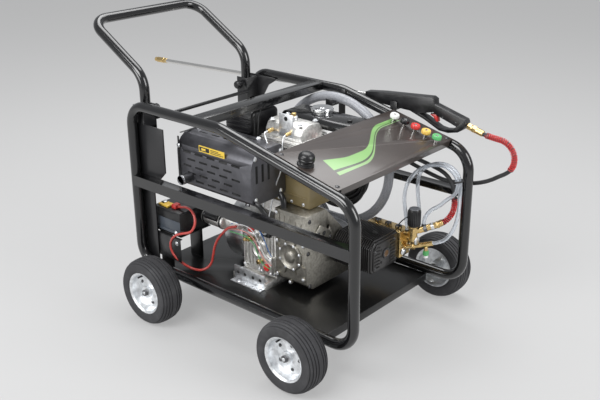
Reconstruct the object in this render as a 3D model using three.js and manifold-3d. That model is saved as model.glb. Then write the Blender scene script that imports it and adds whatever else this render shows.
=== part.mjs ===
// Diesel pressure washer on a four-wheel tubular trolley.
// Millimetres, +Z up, +X towards the pump and the control panel, -Y the muffler side.
// Inside the chassis group X is measured from midway between the two axles.
// The chassis group then shifts X so that the origin lies on the floor under the middle of the machine.

import * as THREE from 'three';
import { mergeVertices } from 'three/addons/utils/BufferGeometryUtils.js';
import Module from 'manifold-3d';

const wasm = await Module();
wasm.setup();

// ---------------------------------------------------------------- driving dimensions

const GAP = 0.3;                 // between pieces that touch
const RUN = 0.4;                 // radial clearance around a turning piece

const TUBE_R = 19;               // frame and handle tube
const HOOP_Y = 324;              // centre plane of each side hoop
const REAR_X = -525;             // centre of the rear posts
const FRONT_X = 511;             // centre of the front posts
const TOP_Z = 781;               // centre of the top rail
const KNEE_X = -57;              // where the top rail starts to slope
const SLOPE_END_Z = 648;         // where the slope would meet the front post

const TYRE_R = 128;
const TYRE_W = 94;
const WHEEL_SIDES = 24;
const RIM_R = 79.6;
const AXLE_R = 8;
const AXLE_X = 345.5;            // one axle each side of the middle
const WHEEL_GAP = 42.5;          // from the frame's side to the tyre

const TRAY_X = [-500, 365];
const TRAY_T = 3;
const TRAY_LIP = 30;

const RAIL_Z = [471, 511];       // mid rails, an angle section
const RAIL_T = 4;

const BEAM_X = [-205, -145];
const BEAM_Z = [766, 796];

const LEG_X = -515;              // handle legs
const HANDLE_BEND_Z = 871;
const HANDLE_TOP_X = -801;
const HANDLE_TOP_Z = 1042;
const PIVOT_Z = 668;
const PIVOT_R = 6;
const CLAMP_Z = 745;
const CLAMP_R = 5;

const PANEL_X = [242, 508];      // measured down the slope from the knee
const PANEL_T = 2.5;
const NOZZLE_START = 302;
const NOZZLE_PITCH = 46;
const NOZZLE_STEM_R = 8;
const NOZZLE_COLLAR_R = 17;
const NOZZLE_Z = [-8, 34, 49];
const SWITCH_X = 345;
const SWITCH_R = 28;

const CRANK_Z = 275;             // crankshaft centre line, at Y = 0
const CRANK_R = 18;
const FLYWHEEL_R = 118;
const BLOWER_R = 130;
const BLOWER_X = [-262, -170];
const BLOCK_X = [-168, 0];
const BLOCK_HALF_W = 125;
const BLOCK_TOP_Z = 400;
const DECK_TOP_Z = 452;
const HEAD_Z = 600;
const BELL_X = [0, 148];
const PUMP_X = [148, 320];
const PUMP_Z = [226, 345];
const PUMP_Y = [20, 180];
const PUMP_SHAFT_Y = 60;
const PUMP_SHAFT_R = 14;
const PINION_TEETH = 12;
const GEAR_TEETH = 24;

const MUFFLER_X = [-370, 5];
const MUFFLER_Y = [-250, -75];
const MUFFLER_Z = [490, 685];

const TANK_X = [-150, 172];
const TANK_Y = [70, 205];
const TANK_Z = [640, 738];

const HP_HOSE_R = 7.5;           // high-pressure hose
const HP_COIL = { x: -40, z: 483, inner: 100, outer: 160, width: 45 };
const SUCTION_HOSE_R = 18;
const SUCTION_COIL = { x: -40, z: 518, radius: 250, turns: 2 };
const BYPASS_HOSE_R = 7;
const CABLE_R = 5;

const LANCE_R = 9;
const LANCE_REAR = [-1210, 722]; // X and Z of the rear tip
const GUN_NOSE = [30, 766];      // X and Z of the gun's nose
const GUN_W = 34;

// ---------------------------------------------------------------- derived places

const AXLE_Z = TYRE_R * Math.cos(Math.PI / WHEEL_SIDES);
const TRAY_BOTTOM_Z = AXLE_Z + AXLE_R + RUN;
const TRAY_TOP_Z = TRAY_BOTTOM_Z + TRAY_T;
const BOTTOM_Z = AXLE_Z + AXLE_R + 0.5 + TUBE_R;
const SLOPE_ANGLE = Math.atan2(TOP_Z - SLOPE_END_Z, FRONT_X - KNEE_X);
const INNER_Y = HOOP_Y - TUBE_R;
const OUTER_Y = HOOP_Y + TUBE_R;
const WHEEL_Y = OUTER_Y + WHEEL_GAP + TYRE_W / 2;   // middle plane of each wheel
const LEG_Y = INNER_Y - 41.5;
const LANCE_Y = OUTER_Y + 27;
const HP_COIL_Y = INNER_Y - 32.5;
const SUCTION_COIL_Y = INNER_Y - 43;
const CENTRE_X = (FRONT_X + TUBE_R + LANCE_REAR[0]) / 2;

// ---------------------------------------------------------------- materials

const finish = (color, roughness, metalness) => new THREE.MeshStandardMaterial({ color, roughness, metalness });
const glossBlack = () => finish(0x131416, 0.25, 0.1);
const satinBlack = () => finish(0x1c1d1f, 0.5, 0.1);
const rubber = () => finish(0x26262a, 0.85, 0);
const zinc = () => finish(0xc9cdd0, 0.35, 0.9);
const castAluminium = () => finish(0xa9acab, 0.5, 0.7);
const castGrey = () => finish(0x55534d, 0.65, 0.4);
const brass = () => finish(0xc79a45, 0.3, 0.9);
const clearHose = () => finish(0xc9ccd0, 0.25, 0);
const plain = (hex, roughness = 0.4) => finish(hex, roughness, 0);

// ---------------------------------------------------------------- solids

const middle = (span) => (span[0] + span[1]) / 2;
const length = (span) => span[1] - span[0];

const box = (x, y, z) => new THREE.BoxGeometry(length(x), length(y), length(z))
  .translate(middle(x), middle(y), middle(z));

// A round bar along one axis; c holds the two other coordinates in XYZ order.
function bar(axis, radius, span, c, sides = 12) {
  const geometry = new THREE.CylinderGeometry(radius, radius, length(span), sides);
  if (axis === 'x') return geometry.rotateZ(Math.PI / 2).translate(middle(span), c[0], c[1]);
  if (axis === 'y') return geometry.translate(c[0], middle(span), c[1]);
  return geometry.rotateX(Math.PI / 2).translate(c[0], c[1], middle(span));
}

// A bar whose flats, not its corners, lie at the radius: the tool for a hole that must clear that radius.
const hole = (axis, radius, span, c, sides = 16) => bar(axis, radius / Math.cos(Math.PI / sides), span, c, sides);

// Turns a profile of [radius, height] pairs about +Z.
function turned(profile, sides) {
  const points = profile.map(([r, h]) => new THREE.Vector2(r, h));
  return new THREE.LatheGeometry(points, sides).rotateX(Math.PI / 2);
}

const closed = (profile) => [...profile, profile[0]];
const outlineShape = (outline) => new THREE.Shape(outline.map(([a, b]) => new THREE.Vector2(a, b)));

// Extrudes an outline of [x, z] points along Y.
function alongY(outline, y) {
  const options = { depth: length(y), bevelEnabled: false };
  return new THREE.ExtrudeGeometry(outlineShape(outline), options).rotateX(Math.PI / 2).translate(0, y[1], 0);
}

// Extrudes an outline of [y, z] points along X.
function alongX(outline, x) {
  const options = { depth: length(x), bevelEnabled: false };
  return new THREE.ExtrudeGeometry(outlineShape(outline), options)
    .rotateX(Math.PI / 2).rotateZ(Math.PI / 2).translate(x[0], 0, 0);
}

// A path of straight steps: a sweep puts one ring at each of its points, square to the bend there.
class StepPath extends THREE.Curve {
  constructor(points, loop = false) {
    super();
    this.points = loop ? [...points, points[0]] : points;
    this.loop = loop;
    this.steps = this.points.length - 1;
  }

  getPoint(t, target = new THREE.Vector3()) {
    const place = t * this.steps;
    const index = Math.min(Math.floor(place), this.steps - 1);
    return target.lerpVectors(this.points[index], this.points[index + 1], place - index);
  }

  getPointAt(u, target) {
    return this.getPoint(u, target);
  }

  getTangentAt(u, target = new THREE.Vector3()) {
    const last = this.steps;
    const index = Math.round(u * last);
    const before = index > 0 ? index - 1 : (this.loop ? last - 1 : 0);
    const after = index < last ? index + 1 : (this.loop ? 1 : last);
    const here = this.points[index];
    const arriving = new THREE.Vector3().subVectors(here, this.points[before]).normalize();
    const leaving = new THREE.Vector3().subVectors(this.points[after], here).normalize();
    return target.addVectors(arriving, leaving).normalize();
  }
}

// Replaces each corner [x, y, z, radius, steps] of a bent tube by an arc.
function rounded(corners) {
  const count = corners.length;
  const place = (i) => new THREE.Vector3(...corners[(i + count) % count].slice(0, 3));
  return corners.flatMap(([, , , radius, steps], i) => {
    const corner = place(i);
    if (!radius) return [corner];
    const back = place(i - 1).sub(corner).normalize();
    const ahead = place(i + 1).sub(corner).normalize();
    const half = back.angleTo(ahead) / 2;
    const bisector = new THREE.Vector3().addVectors(back, ahead).normalize();
    const centre = corner.clone().addScaledVector(bisector, radius / Math.sin(half));
    const from = corner.clone().addScaledVector(back, radius / Math.tan(half)).sub(centre);
    const to = corner.clone().addScaledVector(ahead, radius / Math.tan(half)).sub(centre);
    const turn = Math.PI - 2 * half;
    return Array.from({ length: steps + 1 }, (_, k) => centre.clone()
      .addScaledVector(from, Math.sin((1 - k / steps) * turn) / Math.sin(turn))
      .addScaledVector(to, Math.sin((k / steps) * turn) / Math.sin(turn)));
  });
}

const vectors = (list) => list.map((p) => new THREE.Vector3(...p));

function tube(points, radius, sides) {
  const ring = Array.from({ length: sides }, (_, i) => {
    const angle = (i + 0.5) * 2 * Math.PI / sides;
    return [radius * Math.cos(angle), radius * Math.sin(angle)];
  });
  const path = new StepPath(points);
  return new THREE.ExtrudeGeometry(outlineShape(ring), { steps: path.steps, extrudePath: path, bevelEnabled: false });
}

function tubeLoop(points, radius, sides) {
  const path = new StepPath(points, true);
  return new THREE.TubeGeometry(path, path.steps, radius, sides, true);
}

// Merged vertices and outward faces, as a closed solid needs.
function welded(geometry) {
  const bare = geometry.clone();
  bare.deleteAttribute('normal');
  bare.deleteAttribute('uv');
  const merged = mergeVertices(bare, 1e-3);
  const position = merged.attributes.position;
  const [a, b, c] = [0, 1, 2].map(() => new THREE.Vector3());
  const faces = [];
  let volume = 0;
  for (let i = 0; i < merged.index.count; i += 3) {
    const [p, q, r] = [0, 1, 2].map((k) => merged.index.getX(i + k));
    if (p === q || q === r || p === r) continue;
    faces.push([p, q, r]);
    b.fromBufferAttribute(position, q).cross(c.fromBufferAttribute(position, r));
    volume += a.fromBufferAttribute(position, p).dot(b);
  }
  merged.setIndex(faces.flatMap(([p, q, r]) => (volume < 0 ? [p, r, q] : [p, q, r])));
  return merged;
}

function toSolid(geometry) {
  const merged = welded(geometry);
  const vertProperties = new Float32Array(merged.attributes.position.array);
  const triVerts = new Uint32Array(merged.index.array);
  return new wasm.Manifold(new wasm.Mesh({ numProp: 3, vertProperties, triVerts }));
}

function toGeometry(solid) {
  const mesh = solid.getMesh();
  const geometry = new THREE.BufferGeometry();
  geometry.setAttribute('position', new THREE.BufferAttribute(mesh.vertProperties.slice(), 3));
  geometry.setIndex(new THREE.BufferAttribute(mesh.triVerts.slice(), 1));
  return geometry;
}

const join = (...pieces) => toGeometry(pieces.map(toSolid).reduce((sum, piece) => sum.add(piece)));
const cut = (base, ...tools) => toGeometry(
  tools.map(toSolid).reduce((rest, tool) => rest.subtract(tool), toSolid(base)));

function part(name, geometry, material) {
  const ready = welded(geometry);
  ready.computeVertexNormals();
  const mesh = new THREE.Mesh(ready, material);
  mesh.name = name;
  return mesh;
}

// The left side is +Y and the right side -Y; spanY mirrors a Y span onto a side.
const SIDES = [{ side: 'left', s: 1 }, { side: 'right', s: -1 }];
const spanY = (s, a, b) => (s > 0 ? [a, b] : [-b, -a]);

const chassis = new THREE.Group();

// ---------------------------------------------------------------- frame

const hoop = (y) => tubeLoop(rounded([
  [REAR_X, y, BOTTOM_Z, 80, 5],
  [REAR_X, y, TOP_Z, 75, 5],
  [KNEE_X, y, TOP_Z, 150, 2],
  [FRONT_X, y, SLOPE_END_Z, 90, 5],
  [FRONT_X, y, BOTTOM_Z, 80, 5],
]), TUBE_R, 12);

function midRail(s) {
  const wall = box([REAR_X, FRONT_X], spanY(s, OUTER_Y - RAIL_T, OUTER_Y), RAIL_Z);
  const flange = box([REAR_X, FRONT_X], spanY(s, INNER_Y, OUTER_Y), [RAIL_Z[1] - RAIL_T, RAIL_Z[1]]);
  const beyond = [RAIL_Z[0] - 1, RAIL_Z[1] + 1];
  const posts = [REAR_X, FRONT_X].map((x) => hole('z', TUBE_R + GAP, beyond, [x, s * HOOP_Y], 24));
  const ends = [[REAR_X - TUBE_R, REAR_X + 2], [FRONT_X - 2, FRONT_X + TUBE_R]]
    .map((x) => box(x, spanY(s, INNER_Y - 1, OUTER_Y + 1), beyond));
  return cut(join(wall, flange), ...posts, ...ends);
}

for (const { side, s } of SIDES) {
  chassis.add(part(`side_hoop_${side}`, hoop(s * HOOP_Y), glossBlack()));
  chassis.add(part(`mid_rail_${side}`, midRail(s), glossBlack()));
}

chassis.add(part('cross_beam', cut(
  box(BEAM_X, [-INNER_Y - 5, INNER_Y + 5], BEAM_Z),
  ...SIDES.map(({ s }) => hole('x', TUBE_R + GAP, [BEAM_X[0] - 1, BEAM_X[1] + 1], [s * HOOP_Y, TOP_Z], 24)),
), glossBlack()));

// The tray carries the engine and, at its rear right corner, a battery shelf on two legs.
// The tray's edge stops short of the round tube, measured at the level of its top face.
const TRAY_RISE = TUBE_R - (TRAY_TOP_Z - BOTTOM_Z + TUBE_R);
const TRAY_HALF_W = HOOP_Y - Math.sqrt(TUBE_R ** 2 - TRAY_RISE ** 2) - RUN;
const SHELF = { x: [-495, -335], y: [-288, -135], z: [288, 292], legX: [-455, -385] };
chassis.add(part('base_tray', join(
  box(TRAY_X, [-TRAY_HALF_W, TRAY_HALF_W], [TRAY_BOTTOM_Z, TRAY_TOP_Z]),
  box([TRAY_X[1] - 4, TRAY_X[1]], [-TRAY_HALF_W, TRAY_HALF_W], [TRAY_TOP_Z - TRAY_LIP, TRAY_TOP_Z]),
  box(SHELF.x, SHELF.y, SHELF.z),
  box(SHELF.legX, [SHELF.y[0], SHELF.y[0] + 4], [TRAY_BOTTOM_Z, SHELF.z[1]]),
  box(SHELF.legX, [SHELF.y[1] - 4, SHELF.y[1]], [TRAY_BOTTOM_Z, SHELF.z[1]]),
), satinBlack()));

// ---------------------------------------------------------------- handle and its mount

// Each side has an upright plate and a channel that holds the handle leg on a pivot pin.
const CHANNEL_X = [LEG_X - 28, LEG_X + 28];
const CHANNEL_Z = [645, 771];
const WALL_Y = [LEG_Y - 23.5, LEG_Y - 19.3];
const BLOCK_Y = [LEG_Y + 19.3, INNER_Y - 4];
const WEB_X = [LEG_X + TUBE_R + 0.8, CHANNEL_X[1]];
const PLATE_Y = [INNER_Y - 5.3, INNER_Y - GAP];
const FOOT_Z = TRAY_TOP_Z + GAP;
const PLATES = {
  left: [
    [REAR_X, FOOT_Z], [-462, FOOT_Z], [-462, 640], [-450, 700], [-424, 742], [-385, 766], [-385, 776],
    [REAR_X, 776],
  ],
  right: [[REAR_X, FOOT_Z], [-450, FOOT_Z], [-450, 470], [-380, 540], [-380, 706], [REAR_X, 706]],
};

const mountSide = ({ side, s }) => [
  alongY(PLATES[side], spanY(s, ...PLATE_Y)),
  box(CHANNEL_X, spanY(s, ...WALL_Y), CHANNEL_Z),
  box(CHANNEL_X, spanY(s, BLOCK_Y[0], PLATE_Y[0] + 1), CHANNEL_Z),
  box(WEB_X, spanY(s, WALL_Y[0], BLOCK_Y[0] + 4), [690, CHANNEL_Z[1]]),
  bar('y', PIVOT_R, spanY(s, WALL_Y[1] - 1, BLOCK_Y[0] + 1), [LEG_X, PIVOT_Z], 12),
];

chassis.add(part('handle_mount', cut(
  join(...SIDES.flatMap(mountSide), bar('y', 7, [-WALL_Y[0] - 2, WALL_Y[0] + 2], [CHANNEL_X[1] + 4, 720], 10)),
  ...SIDES.map(({ s }) => hole('y', CLAMP_R + RUN, spanY(s, WALL_Y[0] - 1, WALL_Y[1] + 1), [LEG_X, CLAMP_Z], 10)),
), satinBlack()));

const LEG_END_Z = PIVOT_Z - 12;
const handlePath = rounded([
  [LEG_X, -LEG_Y, LEG_END_Z],
  [LEG_X, -LEG_Y, HANDLE_BEND_Z, 90, 4],
  [HANDLE_TOP_X, -LEG_Y, HANDLE_TOP_Z, 70, 5],
  [HANDLE_TOP_X, LEG_Y, HANDLE_TOP_Z, 70, 5],
  [LEG_X, LEG_Y, HANDLE_BEND_Z, 90, 4],
  [LEG_X, LEG_Y, LEG_END_Z],
]);
chassis.add(part('push_handle', cut(
  tube(handlePath, TUBE_R, 12),
  ...SIDES.map(({ s }) => hole('y', PIVOT_R + RUN, spanY(s, LEG_Y - 30, LEG_Y + 30), [LEG_X, PIVOT_Z], 12)),
), glossBlack()));

// A clamp knob on each side presses its screw against the leg.
for (const { side, s } of SIDES) {
  chassis.add(part(`handle_clamp_${side}`, join(
    bar('y', CLAMP_R, spanY(s, WALL_Y[0] - 12, WALL_Y[1]), [LEG_X, CLAMP_Z], 10),
    bar('y', 16, spanY(s, WALL_Y[0] - 35, WALL_Y[0] - 8), [LEG_X, CLAMP_Z], 12),
  ), satinBlack()));
}

// ---------------------------------------------------------------- wheels

const tyreProfile = [
  [RIM_R + RUN, -42], [RIM_R + 14, -TYRE_W / 2], [TYRE_R - 14, -TYRE_W / 2], [TYRE_R, -TYRE_W / 2 + 14],
  [TYRE_R, TYRE_W / 2 - 14], [TYRE_R - 14, TYRE_W / 2], [RIM_R + 14, TYRE_W / 2], [RIM_R + RUN, 42],
];
const rimProfile = [
  [AXLE_R + RUN, -38], [22, -38], [22, 6], [60, 6], [72, -30], [72, -40], [RIM_R, -40],
  [RIM_R, 40], [72, 40], [66, 14], [22, 14], [22, 30], [AXLE_R + RUN, 30],
];

// A wheel turns about Y, its outer face away from the frame, and rests on a flat of its tyre.
const wheel = (profile, s) => turned(closed(profile), WHEEL_SIDES).rotateX(-s * Math.PI / 2)
  .rotateY(Math.PI / WHEEL_SIDES);

const COLLAR_Y = [WHEEL_Y - 42.5, WHEEL_Y - 38.5];
const NUT_Y = [WHEEL_Y + 30.5, WHEEL_Y + 38];
for (const [end, x] of [['front', AXLE_X], ['rear', -AXLE_X]]) {
  chassis.add(part(`axle_${end}`, join(
    bar('y', AXLE_R, [-NUT_Y[1] + 1, NUT_Y[1] - 1], [x, AXLE_Z], 12),
    ...SIDES.map(({ s }) => bar('y', 14, spanY(s, ...COLLAR_Y), [x, AXLE_Z], 12)),
    ...SIDES.map(({ s }) => bar('y', 13, spanY(s, ...NUT_Y), [x, AXLE_Z], 6)),
  ), zinc()));
  for (const { side, s } of SIDES) {
    const tyre = part(`tyre_${end}_${side}`, wheel(tyreProfile, s), rubber());
    const rim = part(`rim_${end}_${side}`, wheel(rimProfile, s), zinc());
    for (const mesh of [tyre, rim]) {
      mesh.position.set(x, s * WHEEL_Y, AXLE_Z);
      chassis.add(mesh);
    }
  }
}

// ---------------------------------------------------------------- control panel on the slope

const slope = new THREE.Group();
slope.position.set(KNEE_X, 0, TOP_Z);
slope.rotation.y = SLOPE_ANGLE;
chassis.add(slope);

const PANEL_Z = [TUBE_R + GAP, TUBE_R + GAP + PANEL_T];
const NOZZLE_Y = INNER_Y - 63;
const nozzleX = Array.from({ length: 5 }, (_, i) => NOZZLE_START + i * NOZZLE_PITCH);
slope.add(part('control_panel', cut(
  join(
    box(PANEL_X, [-HOOP_Y + 2, HOOP_Y - 2], PANEL_Z),
    box([PANEL_X[1] - PANEL_T, PANEL_X[1]], [-INNER_Y + 1, INNER_Y - 1], [-2, PANEL_Z[1]]),
    box([PANEL_X[0], PANEL_X[0] + PANEL_T], [-INNER_Y + 1, INNER_Y - 1], [5, PANEL_Z[1]]),
  ),
  ...nozzleX.map((x) => hole('z', NOZZLE_STEM_R + 1, [0, 40], [x, NOZZLE_Y], 12)),
), satinBlack()));

const NOZZLE_COLOURS = [0xf2f2f0, 0x1b1b1d, 0xd9382c, 0xe6b23c, 0x59b96c];
const nozzleProfile = [
  [0, NOZZLE_Z[0]], [NOZZLE_STEM_R - 2, NOZZLE_Z[0]], [NOZZLE_STEM_R, NOZZLE_Z[0] + 4],
  [NOZZLE_STEM_R, NOZZLE_Z[1]], [NOZZLE_COLLAR_R, NOZZLE_Z[1]], [NOZZLE_COLLAR_R, NOZZLE_Z[2] - 3],
  [NOZZLE_COLLAR_R - 3, NOZZLE_Z[2]], [0, NOZZLE_Z[2]],
];
nozzleX.forEach((x, i) => {
  const nozzle = part(`spray_nozzle_${i + 1}`, turned(nozzleProfile, 14), plain(NOZZLE_COLOURS[i]));
  nozzle.position.set(x, NOZZLE_Y, 0);
  slope.add(nozzle);
});

const SWITCH_Z = [PANEL_Z[1] + GAP, 46];
const switchProfile = [
  [0, SWITCH_Z[0]], [SWITCH_R, SWITCH_Z[0]], [SWITCH_R - 6, SWITCH_Z[0] + 7], [SWITCH_R - 6, SWITCH_Z[1] - 8],
  [SWITCH_R - 1, SWITCH_Z[1] - 6], [SWITCH_R - 1, SWITCH_Z[1]], [0, SWITCH_Z[1]],
];
const keyProfile = [[0, 0], [20, 0], [19, 9], [13, 17], [0, 20]];
const keySwitch = part('key_switch', turned(switchProfile, 18), satinBlack());
const key = part('ignition_key', join(turned(keyProfile, 16), box([-7, 7], [10, 34], [3, 11])), satinBlack());
keySwitch.position.set(SWITCH_X, -HOOP_Y + 36, 0);
key.position.set(SWITCH_X, -HOOP_Y + 36, SWITCH_Z[1] + GAP);
slope.add(keySwitch, key);

// ---------------------------------------------------------------- spray gun and lance

const GUN_Y = [LANCE_Y - GUN_W / 2, LANCE_Y + GUN_W / 2];
const gunOutline = [
  [30, 752], [30, 782], [60, 786], [110, 792], [230, 802], [322, 810], [336, 803], [338, 786], [400, 770],
  [465, 752], [470, 740], [462, 718], [440, 702], [400, 692], [362, 694], [300, 722], [235, 744], [150, 746],
  [60, 750],
];
const gripOpening = [
  [275, 741], [335, 757], [350, 748], [432, 722], [420, 708], [385, 702], [362, 705], [305, 731],
];
chassis.add(part('gun_body', cut(
  alongY(gunOutline, GUN_Y),
  alongY(gripOpening, [GUN_Y[0] - 1, GUN_Y[1] + 1]),
), satinBlack()));

const triggerOutline = [[316, 744], [322, 748], [342, 748], [348, 740], [352, 722], [343, 722], [332, 736]];
chassis.add(part('gun_trigger', alongY(triggerOutline, [LANCE_Y - 8, LANCE_Y + 8]), plain(0xb8322c)));

// The lance falls slightly towards the rear and ends in a thicker nozzle holder.
const lanceSlope = (GUN_NOSE[1] - LANCE_REAR[1]) / (GUN_NOSE[0] - LANCE_REAR[0]);
const onLance = (x) => [x, LANCE_Y, LANCE_REAR[1] + (x - LANCE_REAR[0]) * lanceSlope];
chassis.add(part('lance_tube', join(
  tube(vectors([onLance(LANCE_REAR[0] + 5), onLance(GUN_NOSE[0] - 3 * GAP)]), LANCE_R, 10),
  tube(vectors([onLance(LANCE_REAR[0]), onLance(LANCE_REAR[0] + 80)]), LANCE_R + 3, 10),
), zinc()));

const HOLDER_X = [150, 180];
chassis.add(part('gun_holder', alongX([
  [OUTER_Y + 0.5, 712], [OUTER_Y + 5, 712], [OUTER_Y + 5, 738], [GUN_Y[1] + 4.5, 738], [GUN_Y[1] + 4.5, 768],
  [GUN_Y[1] + 0.5, 768], [GUN_Y[1] + 0.5, 743], [GUN_Y[0] - 0.5, 743], [GUN_Y[0] - 0.5, 768],
  [GUN_Y[0] - 4.5, 768], [GUN_Y[0] - 4.5, 743], [OUTER_Y + 0.5, 743],
], HOLDER_X), satinBlack()));

// ---------------------------------------------------------------- engine

const crankHole = (x) => hole('x', CRANK_R + 1.5, x, [0, CRANK_Z], 16);
const BLOCK_FOOT_Z = [FOOT_Z, 165];
const DIPSTICK = { x: -33, z: 208, r: 5 };
chassis.add(part('engine_crankcase', cut(
  join(
    box(BLOCK_X, [-BLOCK_HALF_W, BLOCK_HALF_W], [BLOCK_FOOT_Z[0], BLOCK_TOP_Z]),
    box(BLOCK_X, [-BLOCK_HALF_W - 60, BLOCK_HALF_W + 60], BLOCK_FOOT_Z),
    box([-120, BLOCK_X[1]], [-72, 95], [BLOCK_TOP_Z - 5, DECK_TOP_Z]),
  ),
  crankHole([BLOCK_X[0] - 1, BLOCK_X[1] + 1]),
  hole('y', DIPSTICK.r + RUN, [-BLOCK_HALF_W - 1, -55], [DIPSTICK.x, DIPSTICK.z], 10),
), castAluminium()));

chassis.add(part('oil_dipstick', join(
  bar('y', DIPSTICK.r, [-BLOCK_HALF_W - 12, -60], [DIPSTICK.x, DIPSTICK.z], 10),
  bar('y', 14, [-BLOCK_HALF_W - 25, -BLOCK_HALF_W - 7], [DIPSTICK.x, DIPSTICK.z], 12),
), plain(0xc9252b)));

chassis.add(part('cylinder_shroud', box([-120, 115], [-72, 95], [DECK_TOP_Z + 0.6, HEAD_Z]), plain(0x77693c, 0.6)));
chassis.add(part('cylinder_head', join(
  box([-115, 90], [-70, 60], [HEAD_Z + GAP, 690]),
  alongX([[-62, 685], [52, 685], [52, 715], [36, 740], [10, 745], [-26, 745], [-50, 736], [-62, 712]], [-100, 70]),
), castAluminium()));

// The blower housing is a cup around the flywheel, open towards the crankcase.
const BLOWER_WALL = 5;
const blowerProfile = [
  [40, 0], [BLOWER_R, 0], [BLOWER_R, length(BLOWER_X) - GAP], [BLOWER_R - BLOWER_WALL, length(BLOWER_X) - GAP],
  [BLOWER_R - BLOWER_WALL, BLOWER_WALL], [40, BLOWER_WALL],
];
chassis.add(part('blower_housing', turned(closed(blowerProfile), 24).rotateY(Math.PI / 2)
  .translate(BLOWER_X[0], 0, CRANK_Z), castAluminium()));

const [my0, my1] = MUFFLER_Y;
const [mz0, mz1] = MUFFLER_Z;
const OUTLET = { x: -300, z: mz0 + 42, r: 18, y: my0 - 53 };
chassis.add(part('muffler_shield', cut(
  join(
    alongX([
      [my0, mz0 + 15], [my0 + 15, mz0], [my1 - 15, mz0], [my1, mz0 + 15], [my1, mz1 - 25], [my1 - 25, mz1],
      [my0 + 62, mz1], [my0 + 40, mz1 - 6], [my0 + 20, mz1 - 20], [my0 + 6, mz1 - 40], [my0, mz1 - 62],
    ], MUFFLER_X),
    bar('y', OUTLET.r, [OUTLET.y, my0 + 5], [OUTLET.x, OUTLET.z], 14),
  ),
  bar('y', OUTLET.r - 3, [OUTLET.y - 1, my0 - 3], [OUTLET.x, OUTLET.z], 14),
), castGrey()));

const CAP = { x: -10, y: 146, r: 42 };
const [ty0, ty1] = TANK_Y;
const [tz0, tz1] = TANK_Z;
chassis.add(part('fuel_tank', alongX([
  [ty0, tz0 + 16], [ty0 + 5, tz0 + 5], [ty0 + 16, tz0], [ty1 - 16, tz0], [ty1 - 5, tz0 + 5], [ty1, tz0 + 16],
  [ty1, tz1 - 16], [ty1 - 5, tz1 - 5], [ty1 - 16, tz1], [ty0 + 16, tz1], [ty0 + 5, tz1 - 5], [ty0, tz1 - 16],
], TANK_X), satinBlack()));
const fuelCap = part('fuel_cap', turned([
  [0, 0], [CAP.r - 6, 0], [CAP.r, 5], [CAP.r, 17], [CAP.r - 8, 23], [0, 24],
], 20), zinc());
fuelCap.position.set(CAP.x, CAP.y, tz1 + GAP);
chassis.add(fuelCap);

chassis.add(part('air_cleaner', alongX([
  [-40, 604], [-26, 590], [91, 590], [105, 604], [105, 731], [91, 745], [-26, 745], [-40, 731],
], [-330, -190]), satinBlack()));

const STARTER = { x: [-325, -215], y: -165, z: 345, r: 28 };
chassis.add(part('starter_motor', join(
  bar('x', STARTER.r, STARTER.x, [STARTER.y, STARTER.z], 16),
  box([STARTER.x[1] - 15, -150], [STARTER.y - 5, -BLOCK_HALF_W - GAP], [330, 360]),
), castAluminium()));

// ---------------------------------------------------------------- crankshaft, reduction gears and pump

const GEAR_MODULE = 2 * PUMP_SHAFT_Y / (PINION_TEETH + GEAR_TEETH);
const GEAR_X = [98, 118];

// A spur gear across X, with plain tapered teeth thin enough to leave some backlash.
function gear(teeth, phase, y) {
  const pitchR = GEAR_MODULE * teeth / 2;
  const step = 2 * Math.PI / teeth;
  const outline = Array.from({ length: teeth }, (_, i) => [
    [pitchR - 1.08 * GEAR_MODULE, -0.26], [pitchR + 0.84 * GEAR_MODULE, -0.09],
    [pitchR + 0.84 * GEAR_MODULE, 0.09], [pitchR - 1.08 * GEAR_MODULE, 0.26],
  ].map(([radius, share]) => {
    const angle = phase + (i + share) * step;
    return [y + radius * Math.cos(angle), CRANK_Z + radius * Math.sin(angle)];
  })).flat();
  return alongX(outline, GEAR_X);
}

chassis.add(part('crankshaft', join(
  bar('x', CRANK_R, [BLOWER_X[0] + 7, GEAR_X[0] - 3], [0, CRANK_Z], 16),
  bar('x', FLYWHEEL_R, [BLOWER_X[0] + 17, BLOWER_X[1] - 20], [0, CRANK_Z], 24),
  bar('x', 12, [GEAR_X[0] - 5, GEAR_X[1]], [0, CRANK_Z], 12),
  gear(PINION_TEETH, 0, 0),
), castAluminium()));

// Three eccentrics drive the plungers.
const THROW = 8;
const ECCENTRIC_R = 24;
const eccentrics = [190, 230, 270].map((x, i) => {
  const angle = i * 2 * Math.PI / 3;
  const c = [PUMP_SHAFT_Y + THROW * Math.cos(angle), CRANK_Z + THROW * Math.sin(angle)];
  return bar('x', ECCENTRIC_R, [x - 12, x + 12], c, 16);
});
chassis.add(part('pump_shaft', join(
  bar('x', PUMP_SHAFT_R, [60, 300], [PUMP_SHAFT_Y, CRANK_Z], 14),
  gear(GEAR_TEETH, Math.PI + Math.PI / GEAR_TEETH, PUMP_SHAFT_Y),
  ...eccentrics,
), castGrey()));

// The bell housing is hollow around the gears, with an inspection hole in its front wall.
const BELL_WALL = 12;
const bellOutline = [
  [-130, 190], [-95, 160], [110, 160], [150, 200], [150, 300], [91, 330], [-23, 452], [-130, 452],
];
const bellHollow = [[-60, 222], [110, 222], [110, 295], [80, 322], [-10, 400], [-60, 400]];
const bellFront = [BELL_X[1] - BELL_WALL - 1, BELL_X[1] + 1];
chassis.add(part('bell_housing', cut(
  alongX(bellOutline, [BELL_X[0] + 0.5, BELL_X[1]]),
  alongX(bellHollow, [BELL_X[0] + BELL_WALL, BELL_X[1] - BELL_WALL]),
  crankHole([BELL_X[0] - 1, BELL_X[0] + BELL_WALL + 1]),
  hole('x', PUMP_SHAFT_R + 1.5, bellFront, [PUMP_SHAFT_Y, CRANK_Z], 14),
  hole('x', 9, bellFront, [-9, 379], 12),
), castGrey()));

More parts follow.
